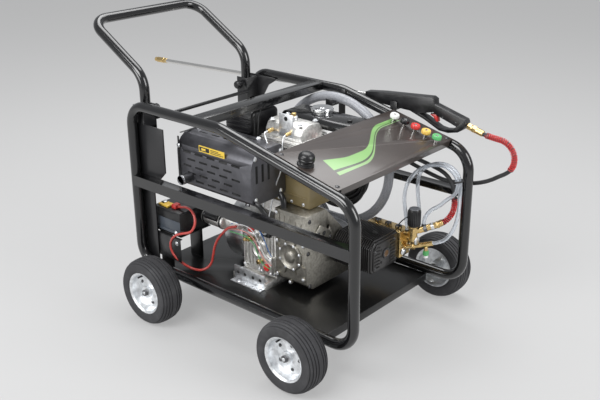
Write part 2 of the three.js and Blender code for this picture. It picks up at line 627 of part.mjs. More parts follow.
chassis.add(part('pump_crankcase', cut(
  alongX([
    [PUMP_Y[0], PUMP_Z[0] + 10], [PUMP_Y[0] + 10, PUMP_Z[0]], [PUMP_Y[1], PUMP_Z[0]], [PUMP_Y[1], PUMP_Z[1]],
    [PUMP_Y[0] + 22, PUMP_Z[1]], [PUMP_Y[0], PUMP_Z[1] - 22],
  ], [PUMP_X[0] + RUN, PUMP_X[1]]),
  hole('x', ECCENTRIC_R + THROW + 1.5, [PUMP_X[0], PUMP_X[1] - 15], [PUMP_SHAFT_Y, CRANK_Z], 20),
), satinBlack()));

const VALVE_Y = PUMP_Y[1] + 34;
const BARB_TIP = [426, 252, 303];
chassis.add(part('pump_manifold', join(
  box([172, 330], [PUMP_Y[1] + GAP, PUMP_Y[1] + 64], [240, 342]),
  ...[208, 254, 300].map((x) => bar('z', 13, [340, 351], [x, VALVE_Y], 6)),
  tube(vectors([[325, 222, 268], [355, 231, 278], [392, 242, 291], BARB_TIP]), 9, 8),
), brass()));

const UNLOADER = { x: 366, y: VALVE_Y - 4, z: 313 };
const KNOB_Z = [370, 436];
const OUTLET_TIP = [436, 262, 376];
const ROD_Z = 340;
chassis.add(part('unloader_body', join(
  bar('x', 17, [330 + GAP, 378], [VALVE_Y, UNLOADER.z], 12),
  bar('z', 16, [UNLOADER.z, KNOB_Z[0] - 2], [UNLOADER.x, UNLOADER.y], 12),
  tube(vectors([[372, 214, 350], [394, 230, 358], [416, 247, 368], OUTLET_TIP]), 12, 8),
  bar('x', 6, [340, 366], [UNLOADER.y, ROD_Z], 8),
  bar('y', 6, [UNLOADER.y, 240], [UNLOADER.x, ROD_Z], 8),
  bar('z', 7, [ROD_Z - 5, 348], [340, UNLOADER.y], 8),
  bar('z', 7, [ROD_Z - 5, 352], [UNLOADER.x, 240], 8),
  bar('z', 7, [355, 378], [396, 232], 8),
), brass()));
chassis.add(part('unloader_knob', join(
  bar('z', 24.5, KNOB_Z, [UNLOADER.x + 3, UNLOADER.y], 20),
  bar('z', 20, [KNOB_Z[1] - 1, KNOB_Z[1] + 3], [UNLOADER.x + 3, UNLOADER.y], 16),
), satinBlack()));

// ---------------------------------------------------------------- battery and water inlet

chassis.add(part('battery', join(
  box([-490, -340], [-285, -140], [SHELF.z[1] + 0.5, 376]),
  box([-488, -342], [-283, -142], [370, 382]),
  box([-404, -388], [-260, -240], [380, 397]),
  box([-470, -454], [-260, -240], [380, 394]),
), satinBlack()));

chassis.add(part('water_inlet', join(
  bar('x', 20, [-400, -182], [INNER_Y - 25, 268], 12),
  box([-475, -396], [INNER_Y - 40, PLATE_Y[0] - GAP], [253, 283]),
), castGrey()));

// ---------------------------------------------------------------- hoses, coils and the hook they hang on

// A coil is a ring about Y as wide as its hose turns lie side by side.
function coil({ x, z }, y, inner, outer, width, sides) {
  const ring = turned(closed([
    [inner, -width / 2 + 5], [inner + 5, -width / 2], [outer - 5, -width / 2], [outer, -width / 2 + 5],
    [outer, width / 2 - 5], [outer - 5, width / 2], [inner + 5, width / 2], [inner, width / 2 - 5],
  ]), sides);
  return ring.rotateX(Math.PI / 2).rotateY(Math.PI / sides).translate(x, y, z);
}

const SUCTION_RING = [SUCTION_COIL.radius - SUCTION_HOSE_R, SUCTION_COIL.radius + SUCTION_HOSE_R];
const SUCTION_RING_W = 2 * SUCTION_HOSE_R * SUCTION_COIL.turns;
chassis.add(part('suction_hose_coil',
  coil(SUCTION_COIL, SUCTION_COIL_Y, ...SUCTION_RING, SUCTION_RING_W, 36), clearHose()));
chassis.add(part('suction_hose_tail',
  tube(vectors([[171.2, 214, 270], [136, 215, 270], [100, 216, 270]]), SUCTION_HOSE_R, 12), clearHose()));
chassis.add(part('pressure_hose_coil',
  coil(HP_COIL, HP_COIL_Y, HP_COIL.inner, HP_COIL.outer, HP_COIL.width, 32), rubber()));

// One folded strip beside the left top rail: two hooks for the coils and a rest for the lance.
const HOOK_X = [HP_COIL.x - 15, HP_COIL.x + 15];
const HOOK_BACK = [INNER_Y - 6.6, INNER_Y - 2];
const insideTop = ({ z }, inner) => z + Math.sqrt(inner ** 2 - (length(HOOK_X) / 2) ** 2) - 1;
const upperHook = insideTop(SUCTION_COIL, SUCTION_RING[0]);
const lowerHook = insideTop(HP_COIL, HP_COIL.inner);
const REST_Z = [748.5, 753];
const hook = (top, reach, lip) => [
  box(HOOK_X, [reach, HOOK_BACK[1]], [top - 6, top]),
  box(HOOK_X, [reach - 4, reach], [top - 6, top + lip]),
];
chassis.add(part('hose_hanger', join(
  box(HOOK_X, HOOK_BACK, [lowerHook - 6, TOP_Z + 9]),
  ...hook(upperHook, SUCTION_COIL_Y - SUCTION_RING_W / 2 - 2, 18),
  ...hook(lowerHook, HP_COIL_Y - HP_COIL.width / 2 - 3, 14),
  box(HOOK_X, [HOOK_BACK[0], LANCE_Y + 14], REST_Z),
  box(HOOK_X, [LANCE_Y + 10, LANCE_Y + 14], [REST_Z[0], REST_Z[1] + 12]),
), satinBlack()));

chassis.add(part('pressure_hose_run_pump', tube(vectors([
  [437.4, 263.1, 376.7], [448, 271, 383], [460, 279, 394], [471, 286, 410], [479, 290, 430], [482, 292, 456],
  [480, 293, 485], [472, 295, 515], [456, 298, 541], [436, 301, 557], [410, 304, 567], [380, 307, 573],
  [340, 310, 579], [300, 312, 585], [258, 312, 592], [225, 312, 599], [190, 309, 607], [140, 303, 616],
  [100, 296, 622], [66, 291, 625],
]), HP_HOSE_R, 8), rubber()));

chassis.add(part('pressure_hose_run_gun', tube(vectors([
  [119, 268, 540], [132.7, 279.4, 559], [149.8, 291.9, 573.4], [172.1, 303.9, 579.9], [200, 310.1, 579.1],
  [230, 312, 573], [258, 312, 567], [290, 312, 559], [340, 311, 547], [390, 310, 537], [420, 314, 531],
  [450, 325, 527], [484, 345, 524], [514, 360, 527], [545, 368, 536], [578, 371, 552.5], [605.9, 371, 571.2],
  [629.9, 371.1, 587.1], [645.7, 370.9, 601.9], [656.2, 370.5, 620.8], [659.7, 370.1, 642], [655.9, 370, 663.1],
  [645.3, 370, 681.8], [629, 370, 695.8], [608.8, 370, 703.7], [580, 370, 705.5], [545, 370, 708.9],
  [504.9, 370, 718.3], [471, 370, 728],
]), HP_HOSE_R, 8), rubber()));

chassis.add(part('bypass_hose_1', tube(vectors([
  [340, 210, 348.9], [339.8, 210.1, 357.8], [338.5, 210.6, 366.7], [336, 210.9, 375.3], [330.9, 213.9, 392],
  [322, 218, 425], [312, 226, 455], [308, 236, 485], [312, 246, 515], [328, 254, 545], [352, 258, 570],
  [385, 261, 590], [420, 262, 600.8], [458.6, 261.8, 602.6], [489.9, 262.1, 586.1], [505, 263, 561.2],
  [507.1, 263.9, 534.9], [494.7, 264.1, 505.9], [467.6, 261.8, 480.5], [440.2, 258.8, 451.8],
  [412.3, 248.4, 429.5], [400.2, 237.4, 409], [396.4, 232.6, 390.9], [396, 232, 378.8],
]), BYPASS_HOSE_R, 8), clearHose()));

chassis.add(part('bypass_hose_2', tube(vectors([
  [366, 240, 352.5], [365.8, 240.6, 366], [364.1, 244.9, 386], [358, 256, 415], [346, 266, 450],
  [336, 274, 485], [333, 279, 520], [341, 280, 550], [362, 280, 574], [392, 280, 592], [425, 280, 601.9],
  [460.1, 280, 600.4], [487.7, 280, 585.7], [503.7, 280, 561.9], [508.4, 280, 535], [508.9, 280, 495],
  [509, 279, 455], [506, 276, 415], [498, 272, 378], [484, 267, 346], [464.1, 262.1, 321.8],
  [443.7, 256.9, 310.1], [426.5, 252.2, 303.2],
]), BYPASS_HOSE_R, 8), clearHose()));

chassis.add(part('battery_cable', tube(vectors([
  [-386.7, -250, 391], [-374, -250.5, 392.5], [-358, -252.5, 396.4], [-340, -256, 402.5], [-318, -263, 407.5],
  [-296, -269, 409], [-274.9, -275.5, 403.5], [-259.6, -280.9, 389.2], [-253.5, -286.7, 370.1],
  [-255.1, -290.7, 357.1], [-269, -295.5, 335.8], [-297.1, -297, 322.2], [-328, -298, 310], [-356, -298, 294],
  [-377, -298, 273], [-386.1, -298, 248], [-380.7, -297.1, 224.1], [-363.2, -296, 204.7], [-340, -288, 186],
  [-320, -275, 170], [-305.1, -256.1, 155.8], [-290, -236, 149.8], [-276.3, -218.4, 156.7],
  [-265.6, -205.5, 175.7], [-258.1, -200.1, 210], [-248, -198, 250], [-232, -194, 284], [-209.9, -190, 312],
  [-189.3, -183.8, 334.4], [-169.3, -179.7, 344.6], [-152, -177, 350],
]), CABLE_R, 8), plain(0xb3262d)));

// ---------------------------------------------------------------- assembly

chassis.position.x = -CENTRE_X;
const group = new THREE.Group();
group.add(chassis);
export default group;
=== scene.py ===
# %% [markdown]
# # A diesel pressure washer, built step by step
# The machine is a tubular trolley that carries a diesel engine, a plunger pump, hose coils and a spray gun.
# Its working skeleton comes ready-made: a imported model whose parts already move on real joints.
# This lesson puts the finished looks around that skeleton: smooth bent tubes, castings with fins and bolts,
# tyres with tread, hoses along their routes, and a material for every surface.

# %% Load the frame
import bmesh
import bpy
import math
from mathutils import Matrix, Vector


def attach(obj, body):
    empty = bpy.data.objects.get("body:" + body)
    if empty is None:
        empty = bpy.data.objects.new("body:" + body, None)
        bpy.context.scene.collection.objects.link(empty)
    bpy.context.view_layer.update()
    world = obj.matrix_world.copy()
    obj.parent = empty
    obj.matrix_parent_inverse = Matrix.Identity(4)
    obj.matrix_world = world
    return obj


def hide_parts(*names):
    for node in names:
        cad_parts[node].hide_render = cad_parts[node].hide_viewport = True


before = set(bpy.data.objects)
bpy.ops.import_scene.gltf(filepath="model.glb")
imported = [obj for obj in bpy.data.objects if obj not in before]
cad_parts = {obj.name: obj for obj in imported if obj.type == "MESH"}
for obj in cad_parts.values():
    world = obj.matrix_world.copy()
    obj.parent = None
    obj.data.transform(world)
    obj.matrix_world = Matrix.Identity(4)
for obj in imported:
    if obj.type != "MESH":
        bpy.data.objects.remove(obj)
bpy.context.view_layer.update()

# %% [markdown]
# Workshop drawings are in millimetres, and Blender works in metres.
# Every shape below is drawn in millimetres from the point midway between the axles, then moved once
# at the end, so each finished object keeps its place in its mesh and itself stays at the origin.

# %% Units and places
MM = 0.001
MIDDLE_SHIFT = 340
TO_ROW = Matrix.Scale(MM, 4) @ Matrix.Translation((MIDDLE_SHIFT, 0, 0))


def row(x, y, z):
    """A drawing point in millimetres, as a point of the finished model in metres."""
    return TO_ROW @ Vector((x, y, z))


# %% [markdown]
# The camera stands in front of the pump end, to the machine's right, a little above the handle.
# Its lens is a slightly long one, so the wheels keep their shape.

# %% Camera
CAMERA_PLACE = (1981.3, -2242.3, 1658.1)
CAMERA_AZIMUTH = 41.37
CAMERA_ELEVATION = 22.15
CAMERA_ROLL = -0.52
CAMERA_LENS = 52.77

camera = bpy.data.objects.new("camera", bpy.data.cameras.new("camera"))
bpy.context.scene.collection.objects.link(camera)
bpy.context.scene.camera = camera
camera.data.lens = CAMERA_LENS
camera.data.sensor_width = 36
camera.data.clip_start = 0.05
camera.data.clip_end = 60
azimuth, elevation = math.radians(CAMERA_AZIMUTH), math.radians(CAMERA_ELEVATION)
backward = Vector((math.sin(azimuth) * math.cos(elevation), -math.cos(azimuth) * math.cos(elevation),
                   math.sin(elevation)))
aim = (-backward).to_track_quat("-Z", "Y").to_matrix().to_4x4()
roll = Matrix.Rotation(math.radians(CAMERA_ROLL), 4, "Z")
camera.matrix_world = Matrix.Translation(row(*CAMERA_PLACE)) @ aim @ roll
print("camera at", [round(c, 3) for c in camera.matrix_world.translation])

# %% [markdown]
# ## Shader maths as plain sums
# A node tree is hard to read in code, so one small class stands for a value on a wire.
# Adding or multiplying two such values places the Math node for it, and every other node comes
# from one method that takes the node's type, its settings and its inputs.

# %% A value on a wire
class Wire:
    def __init__(self, finish, socket):
        self.finish = finish
        self.socket = socket

    def math(self, operation, *others):
        return self.finish.node("ShaderNodeMath", {"operation": operation}, dict(enumerate([self, *others])))

    def __add__(self, other):
        return self.math("ADD", other)

    __radd__ = __add__

    def __mul__(self, other):
        return self.math("MULTIPLY", other)

    __rmul__ = __mul__

    def __sub__(self, other):
        return self.math("SUBTRACT", other)

    def __rsub__(self, other):
        return self.finish.node("ShaderNodeMath", {"operation": "SUBTRACT"}, {0: other, 1: self})

    def fade(self, low, high):
        """0 below low, 1 above high, and a smooth step between."""
        values = {"Value": self, "From Min": low, "From Max": high}
        return self.finish.node("ShaderNodeMapRange", {"interpolation_type": "SMOOTHSTEP"}, values)


# %% A finish
class Finish:
    """One material. Its surface() call is the last step, and takes what varies and what is constant."""

    def __init__(self, name):
        self.material = bpy.data.materials.new(name)
        self.material.use_nodes = True
        self.tree = self.material.node_tree
        self.tree.nodes.clear()
        self.place = self.node("ShaderNodeTexCoord", out="Object")

    def node(self, kind, settings=None, values=None, out=0):
        made = self.tree.nodes.new(kind)
        for key, value in (settings or {}).items():
            setattr(made, key, value)
        for key, value in (values or {}).items():
            if isinstance(value, Wire):
                self.tree.links.new(value.socket, made.inputs[key])
            else:
                made.inputs[key].default_value = value
        return Wire(self, made.outputs[out])

    def noise(self, scale, detail=3.0, roughness=0.55, place=None):
        values = {"Vector": place or self.place, "Scale": scale, "Detail": detail, "Roughness": roughness}
        return self.node("ShaderNodeTexNoise", None, values, out="Fac")

    def cells(self, scale):
        values = {"Vector": self.place, "Scale": scale}
        return self.node("ShaderNodeTexVoronoi", {"feature": "F1"}, values, "Distance")

    def mix(self, amount, first, second):
        """Sockets 6 and 7 are the two colours of a Mix node, and output 2 is its colour."""
        return self.node("ShaderNodeMix", {"data_type": "RGBA"}, {0: amount, 6: first, 7: second}, out=2)

    def axes(self):
        split = self.tree.nodes.new("ShaderNodeSeparateXYZ")
        self.tree.links.new(self.place.socket, split.inputs[0])
        return [Wire(self, socket) for socket in split.outputs]

    def surface(self, base, roughness, metallic=0.0, bump=None, strength=0.3, distance=0.001, **fixed):
        values = {"Base Color": base, "Roughness": roughness, "Metallic": metallic}
        if bump is not None:
            height = {"Strength": strength, "Distance": distance, "Height": bump}
            values["Normal"] = self.node("ShaderNodeBump", None, height, out="Normal")
        for key, value in fixed.items():
            values[key.replace("_", " ").title().replace("Ior", "IOR")] = value
        shader = self.node("ShaderNodeBsdfPrincipled", None, values, out="BSDF")
        end = self.tree.nodes.new("ShaderNodeOutputMaterial")
        self.tree.links.new(shader.socket, end.inputs["Surface"])
        return self.material


def tone(red, green, blue):
    return (red, green, blue, 1.0)


# %% [markdown]
# ## The finishes
# Gloss paint on the tubes shows a soft ripple, called orange peel, and a clear top coat.
# The ripple is a fine noise that feeds a Bump, and a broad noise shifts the roughness a little,
# which is what keeps a black tube from looking like a flat drawing.

# %% Paints
def paint(name, colour, roughness, dust=0.12, coat=0.5, ripple=0.08):
    made = Finish(name)
    broad = made.noise(9, 4)
    fine = made.noise(420, 2)
    dusty = tuple(c + dust * (0.5 - c) for c in colour[:3]) + (1.0,)
    base = made.mix(broad.fade(0.45, 0.85), colour, dusty)
    rough = roughness - 0.05 + broad * 0.14
    return made.surface(base, rough, 0.0, fine, ripple, 0.0004, coat_weight=coat, coat_roughness=0.12)


gloss_black = paint("gloss_black_paint", tone(0.0035, 0.0035, 0.004), 0.17, 0.008, 0.7)
satin_black = paint("satin_black_paint", tone(0.007, 0.007, 0.008), 0.36, 0.02, 0.25)
tray_black = paint("tray_black_paint", tone(0.003, 0.003, 0.003), 0.3, 0.004, 0.1)
olive_paint = paint("olive_paint", tone(0.2, 0.155, 0.07), 0.4, 0.1, 0.3)
pump_black = paint("pump_black_paint", tone(0.013, 0.012, 0.012), 0.32, 0.05, 0.3, 0.2)


# %% [markdown]
# Zinc, steel, brass and castings differ in colour, in gloss and in how coarse their surface is.
# One recipe with those as its numbers serves them all, and a stretched noise gives drawn steel its grain.

# %% Bare metals
def metal(name, colour, roughness, mottle=0.25, scale=60, grain=0.15, stretch=(1, 1, 1)):
    made = Finish(name)
    drawn = made.node("ShaderNodeMapping", None, {"Vector": made.place, "Scale": stretch})
    patches = made.noise(scale, 5, 0.65, drawn)
    fine = made.noise(900, 2, 0.6, drawn)
    dull = tuple(c * (1 - mottle) for c in colour[:3]) + (1.0,)
    base = made.mix(patches.fade(0.35, 0.65), dull, colour)
    return made.surface(base, roughness - 0.08 + patches * 0.2, 1.0, fine, grain, 0.0003)


bright_zinc = metal("bright_zinc", tone(0.93, 0.95, 0.97), 0.38, 0.3, 42, 0.25)
steel = metal("polished_steel", tone(0.78, 0.77, 0.75), 0.2, 0.12, 30, 0.08, (1, 12, 12))
chrome = metal("chrome", tone(0.86, 0.87, 0.88), 0.08, 0.05, 20, 0.02)
dark_steel = metal("dark_steel", tone(0.16, 0.16, 0.165), 0.35, 0.3, 50)
brass = metal("brass", tone(0.83, 0.6, 0.27), 0.24, 0.25, 55, 0.1)
castings = metal("cast_aluminium", tone(0.84, 0.83, 0.8), 0.42, 0.3, 80, 0.5)
bell_metal = metal("bell_housing_casting", tone(0.46, 0.44, 0.39), 0.4, 0.3, 90, 0.7)
blower_metal = metal("pressed_aluminium", tone(0.74, 0.75, 0.76), 0.28, 0.22, 25, 0.12)
muffler_metal = metal("muffler_enamel", tone(0.17, 0.17, 0.185), 0.4, 0.25, 12, 0.12)


# %% [markdown]
# Moulded plastic is slightly paler where hands and weather reach it. A broad noise mixes that in,
# and a very fine one gives the skin its grain. Tyres and clear hoses get a recipe of their own.

# %% Plastics and rubber
def plastic(name, colour, roughness=0.35, grain=0.12, coat=0.0):
    made = Finish(name)
    broad = made.noise(14, 3)
    fine = made.noise(700, 2)
    worn = tuple(c + 0.07 * (0.6 - c) for c in colour[:3]) + (1.0,)
    base = made.mix(broad.fade(0.4, 0.9), colour, worn)
    return made.surface(base, roughness - 0.06 + broad * 0.14, 0.0, fine, grain, 0.0003, coat_weight=coat)


black_plastic = plastic("black_plastic", tone(0.007, 0.007, 0.008), 0.3)
rubber_black = plastic("rubber_black", tone(0.016, 0.016, 0.017), 0.5, 0.25)
grey_plastic = plastic("grey_plastic", tone(0.22, 0.23, 0.25), 0.4)
white_plastic = plastic("white_plastic", tone(0.85, 0.85, 0.83), 0.3)
red_plastic = plastic("red_plastic", tone(0.6, 0.03, 0.025), 0.3, 0.1, 0.3)
yellow_plastic = plastic("yellow_plastic", tone(0.8, 0.52, 0.06), 0.35)
yellow_nozzle = plastic("yellow_nozzle_plastic", tone(0.78, 0.5, 0.1), 0.35)
green_plastic = plastic("green_plastic", tone(0.1, 0.42, 0.14), 0.35)
cable_red = plastic("cable_red", tone(0.5, 0.06, 0.05), 0.28, 0.05, 0.4)
guard_red = plastic("spiral_guard_red", tone(0.66, 0.03, 0.03), 0.25, 0.05, 0.5)
label_white = plastic("plain_white_label", tone(0.8, 0.8, 0.8), 0.35, 0.02)
label_pink = plastic("plain_pink_label", tone(0.75, 0.32, 0.3), 0.35, 0.02)
label_yellow = plastic("plain_yellow_label", tone(0.8, 0.55, 0.05), 0.35, 0.02)
plate_dark = plastic("black_steel_plate", tone(0.012, 0.012, 0.013), 0.3, 0.05)
glass_brown = plastic("brown_sight_glass", tone(0.13, 0.07, 0.03), 0.15, 0.02, 0.6)
plate_blue = plastic("blue_grey_plate", tone(0.05, 0.06, 0.075), 0.3, 0.05)
wire_blue = plastic("wire_blue", tone(0.05, 0.16, 0.42), 0.35)
# Matte near-black. On one thin tube it is the tube's own black; elsewhere it is painted shade: discs and bars put
# where holes and slots would be dark, and the cut walls of the muffler slots.
matte_black_and_shade = plastic("matte_black_and_painted_shade", tone(0.003, 0.003, 0.003), 0.75, 0.1)


def tyre_finish():
    """Grey-black rubber with a little road dust, which gathers in broad patches."""
    made = Finish("tyre_rubber")
    dust = made.noise(16, 5, 0.6)
    fine = made.noise(520, 3)
    base = made.mix(dust.fade(0.42, 0.8), tone(0.03, 0.03, 0.033), tone(0.06, 0.06, 0.063))
    return made.surface(base, 0.62 + dust * 0.2, 0.0, fine, 0.35, 0.0005)


def clear_finish(name, colour, roughness, transmission, thread=0.0):
    """Milky tube plastic. Light passes part of the way, and woven threads show as pale dots."""
    made = Finish(name)
    weave = made.cells(260)
    broad = made.noise(30, 2)
    pale = tuple(min(1, c + 0.16) for c in colour[:3]) + (1.0,)
    base = made.mix(weave.fade(0.25, 0.6) * thread + broad * 0.3, colour, pale)
    return made.surface(base, roughness - 0.05 + broad * 0.1, 0.0, weave, 0.15, 0.0004,
                        transmission_weight=transmission, ior=1.42)


tyre_rubber = tyre_finish()
milky_hose = clear_finish("milky_bypass_hose", tone(0.78, 0.82, 0.88), 0.16, 0.72)
braided_hose = clear_finish("clear_braided_hose", tone(0.3, 0.31, 0.34), 0.2, 0.35, 0.9)
print("finishes:", len(bpy.data.materials))

# %% [markdown]
# ## The workbench
# Each piece is built on a bench: an empty bmesh that takes one shape after another.
# A shape is made by Blender's own operators, such as a spin for anything turned on a lathe, a face
# that is extruded for plate work, and circles that are bridged for bent tube.

# %% The bench
def to_axis(direction):
    """Turns +Z to a direction."""
    return Vector((0, 0, 1)).rotation_difference(Vector(direction).normalized()).to_matrix().to_4x4()


AXES = {"x": (1, 0, 0), "y": (0, 1, 0), "z": (0, 0, 1)}
POLE_WELD = 0.002       # joins the points where a turned profile meets its axis
SKELETON_WELD = 0.01    # joins the loose triangles of a skeleton part
FLAT_ANGLE = 2          # faces within this many degrees become one
SPARE_SLOTS = 8         # material slots kept open while a Boolean runs


class Bench:
    def __init__(self):
        self.bm = bmesh.new()

    def take(self, shape, tint=0, place=None):
        """Adds a finished shape, moves it to its place and gives it one of the piece's materials."""
        if place is not None:
            shape.transform(place)
        for face in shape.faces:
            face.material_index = tint
        scratch = bpy.data.meshes.new("scratch")
        shape.to_mesh(scratch)
        shape.free()
        self.bm.from_mesh(scratch)
        bpy.data.meshes.remove(scratch)
        return self

    def block(self, x, y, z, bevel=1.5, tint=0, turn=None, segments=2):
        """A box with rounded edges. turn is a rotation about its own middle."""
        shape = bmesh.new()
        size = [b - a for a, b in (x, y, z)]
        middle = Vector([(a + b) / 2 for a, b in (x, y, z)])
        bmesh.ops.create_cube(shape, size=1, matrix=Matrix.Diagonal((*size, 1)))
        if bevel:
            bmesh.ops.bevel(shape, geom=shape.edges[:], offset=min(bevel, min(size) * 0.45), segments=segments,
                            profile=0.5, affect="EDGES", material=-1)
        return self.take(shape, tint, Matrix.Translation(middle) @ (turn or Matrix.Identity(4)))

    def turned(self, profile, axis="z", centre=(0, 0, 0), count=40, tint=0, closed=False):
        """A profile of (radius, height) pairs, spun once round an axis through centre."""
        shape = bmesh.new()
        corners = [shape.verts.new((r, 0, h)) for r, h in profile]
        chain = list(zip(corners, corners[1:])) + ([(corners[-1], corners[0])] if closed else [])
        for pair in chain:
            shape.edges.new(pair)
        bmesh.ops.spin(shape, geom=shape.verts[:] + shape.edges[:], cent=(0, 0, 0), axis=(0, 0, 1),
                       angle=math.tau, steps=count, use_merge=True)
        bmesh.ops.remove_doubles(shape, verts=shape.verts[:], dist=POLE_WELD)
        direction = AXES[axis] if isinstance(axis, str) else axis
        return self.take(shape, tint, Matrix.Translation(centre) @ to_axis(direction))

    def rod(self, start, end, radius, tint=0, sides=24, chamfer=0.8, end_radius=None):
        """A round bar from one point to another, with its rims eased."""
        start, end = Vector(start), Vector(end)
        length = (end - start).length
        last = radius if end_radius is None else end_radius
        ease = min(chamfer, radius * 0.4, last * 0.4, length * 0.3)
        profile = [(0, 0), (radius - ease, 0), (radius, ease), (last, length - ease), (last - ease, length),
                   (0, length)]
        return self.turned(profile, end - start, start, sides, tint)

    def slab(self, outline, axis, span, bevel=1.0, tint=0, segments=2):
        """A flat outline given in the two other coordinates, extruded along an axis."""
        spread = {"x": lambda a, b: (span[0], a, b), "y": lambda a, b: (a, span[0], b),
                  "z": lambda a, b: (a, b, span[0])}[axis]
        shape = bmesh.new()
        face = shape.faces.new([shape.verts.new(spread(a, b)) for a, b in outline])
        grown = bmesh.ops.extrude_face_region(shape, geom=[face])["geom"]
        step = Vector(AXES[axis]) * (span[1] - span[0])
        bmesh.ops.translate(shape, vec=step, verts=[v for v in grown if isinstance(v, bmesh.types.BMVert)])
        bmesh.ops.recalc_face_normals(shape, faces=shape.faces[:])
        if bevel:
            bmesh.ops.bevel(shape, geom=shape.edges[:], offset=bevel, segments=segments, profile=0.5,
                            affect="EDGES", material=-1, clamp_overlap=True)
        return self.take(shape, tint)

    def tube(self, points, radius, sides=24, loop=False, tint=0, flat=1.0):
        """A circle set square to the path at each point, each bridged to the next. flat squeezes it."""
        points = [Vector(p) for p in points]
        count = len(points)
        shape = bmesh.new()
        rings = []
        across = None
        for i, point in enumerate(points):
            before = points[i - 1] if i or loop else point
            after = points[(i + 1) % count] if i < count - 1 or loop else point
            ahead = ((after - point).normalized() + (point - before).normalized()).normalized()
            if across is None:
                across = ahead.orthogonal().normalized()
            across = (across - ahead * across.dot(ahead)).normalized()
            side = ahead.cross(across)
            turn = Matrix((across, side, ahead)).transposed().to_4x4()
            squeeze = Matrix.Diagonal((1, flat, 1, 1))
            ring = bmesh.ops.create_circle(shape, segments=sides, radius=radius,
                                           matrix=Matrix.Translation(point) @ turn @ squeeze)["verts"]
            rings.append(list({edge for v in ring for edge in v.link_edges}))
        pairs = list(zip(rings, rings[1:])) + ([(rings[-1], rings[0])] if loop else [])
        for first, second in pairs:
            bmesh.ops.bridge_loops(shape, edges=first + second)
        if not loop:
            bmesh.ops.holes_fill(shape, edges=rings[0] + rings[-1], sides=0)
        return self.take(shape, tint)

    def bolt(self, place, direction, radius=6, height=5, tint=0, washer=True):
        """A hexagon head on a washer."""
        shape = bmesh.new()
        bmesh.ops.create_cone(shape, cap_ends=True, segments=6, radius1=radius, radius2=radius, depth=height,
                              matrix=Matrix.Translation((0, 0, height / 2)))
        bmesh.ops.bevel(shape, geom=[e for e in shape.edges if max(v.co.z for v in e.verts) > height * 0.9],
                        offset=radius * 0.14, segments=2, profile=0.5, affect="EDGES", material=-1)
        self.take(shape, tint, Matrix.Translation(place) @ to_axis(direction))
        if washer:
            foot = Vector(place) + Vector(direction).normalized() * 1.2
            self.rod(place, foot, radius * 1.45, tint, 20, 0.4)
        return self

    def cad(self, node, bevel=0.8, tint=0, sharp=30):
        """A copy of a frame part, welded, with its flat faces merged and its sharp edges rounded."""
        shape = bmesh.new()
        shape.from_mesh(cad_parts[node].data)
        shape.transform(TO_ROW.inverted())
        bmesh.ops.remove_doubles(shape, verts=shape.verts[:], dist=SKELETON_WELD)
        bmesh.ops.dissolve_limit(shape, angle_limit=math.radians(FLAT_ANGLE), verts=shape.verts[:],
                                 edges=shape.edges[:])
        hard = [e for e in shape.edges if e.is_manifold and e.calc_face_angle(0) > math.radians(sharp)]
        if bevel:
            bmesh.ops.bevel(shape, geom=hard, offset=bevel, segments=2, profile=0.5, affect="EDGES", material=-1,
                            clamp_overlap=True)
        return self.take(shape, tint)

    def piece(self, name, body, slot, finishes, replaces=(), smooth=32):
        """Turns the faces outwards, moves to metres, shades, and puts the piece on its body."""
        bmesh.ops.recalc_face_normals(self.bm, faces=self.bm.faces[:])
        self.bm.transform(TO_ROW)
        mesh = bpy.data.meshes.new(name)
        self.bm.to_mesh(mesh)
        self.bm.free()
        for finish in finishes:
            mesh.materials.append(finish)
        mesh.shade_smooth()
        mesh.set_sharp_from_angle(angle=math.radians(smooth))
        made = bpy.data.objects.new(name, mesh)
        bpy.context.scene.collection.objects.link(made)
        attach(made, body)
        if replaces:
            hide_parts(*replaces)
        print(f"{name}: {len(mesh.polygons)} faces")
        return made


def carve(target, cutter, tint=1):
    """Cuts one bench's shapes out of another's with a Boolean, and paints the cut walls."""
    meshes = []
    for bench in (target, cutter):
        mesh = bpy.data.meshes.new("scratch")
        bmesh.ops.recalc_face_normals(bench.bm, faces=bench.bm.faces[:])
        if bench is cutter:
            for face in bench.bm.faces:
                face.material_index = tint
        bench.bm.to_mesh(mesh)
        bench.bm.free()
        for _ in range(SPARE_SLOTS):
            mesh.materials.append(None)
        meshes.append(mesh)
    base, tool = [bpy.data.objects.new("scratch", mesh) for mesh in meshes]
    for scratch in (base, tool):
        bpy.context.scene.collection.objects.link(scratch)
    cut = base.modifiers.new("cut", "BOOLEAN")
    cut.object = tool
    cut.operation = "DIFFERENCE"
    cut.solver = "EXACT"
    graph = bpy.context.evaluated_depsgraph_get()
    result = bpy.data.meshes.new_from_object(base.evaluated_get(graph))
    target.bm = bmesh.new()
    target.bm.from_mesh(result)
    for scratch in (base, tool):
        bpy.data.objects.remove(scratch)
    for mesh in [*meshes, result]:
        bpy.data.meshes.remove(mesh)
    return target


def rounded_path(corners, loop=False, steps=10):
    """Replaces each corner (x, y, z, radius) by an arc, as a tube bender does."""
    places = [Vector(c[:3]) for c in corners]
    count = len(corners)
    points = []
    for i, corner in enumerate(corners):
        radius = corner[3] if len(corner) > 3 else 0
        here = places[i]
        if not radius:
            points.append(here)
            continue
        back = (places[i - 1] - here).normalized()
        ahead = (places[(i + 1) % count] - here).normalized()
        half = back.angle(ahead) / 2
        centre = here + (back + ahead).normalized() * (radius / math.sin(half))
        start = here + back * (radius / math.tan(half)) - centre
        end = here + ahead * (radius / math.tan(half)) - centre
        turn = math.pi - 2 * half
        points += [centre + start * (math.sin((1 - k / steps) * turn) / math.sin(turn))
                   + end * (math.sin(k / steps * turn) / math.sin(turn)) for k in range(steps + 1)]
    return points

# %% [markdown]
# ## Hoses and cables
# A hose has a fixed length, so its route is settled before anything else is dressed.
# The high-pressure hose is one cord: it leaves the unloader valve, climbs to the coil, winds through
# almost nine turns that lie side by side in three layers, and leaves again for the spray gun.


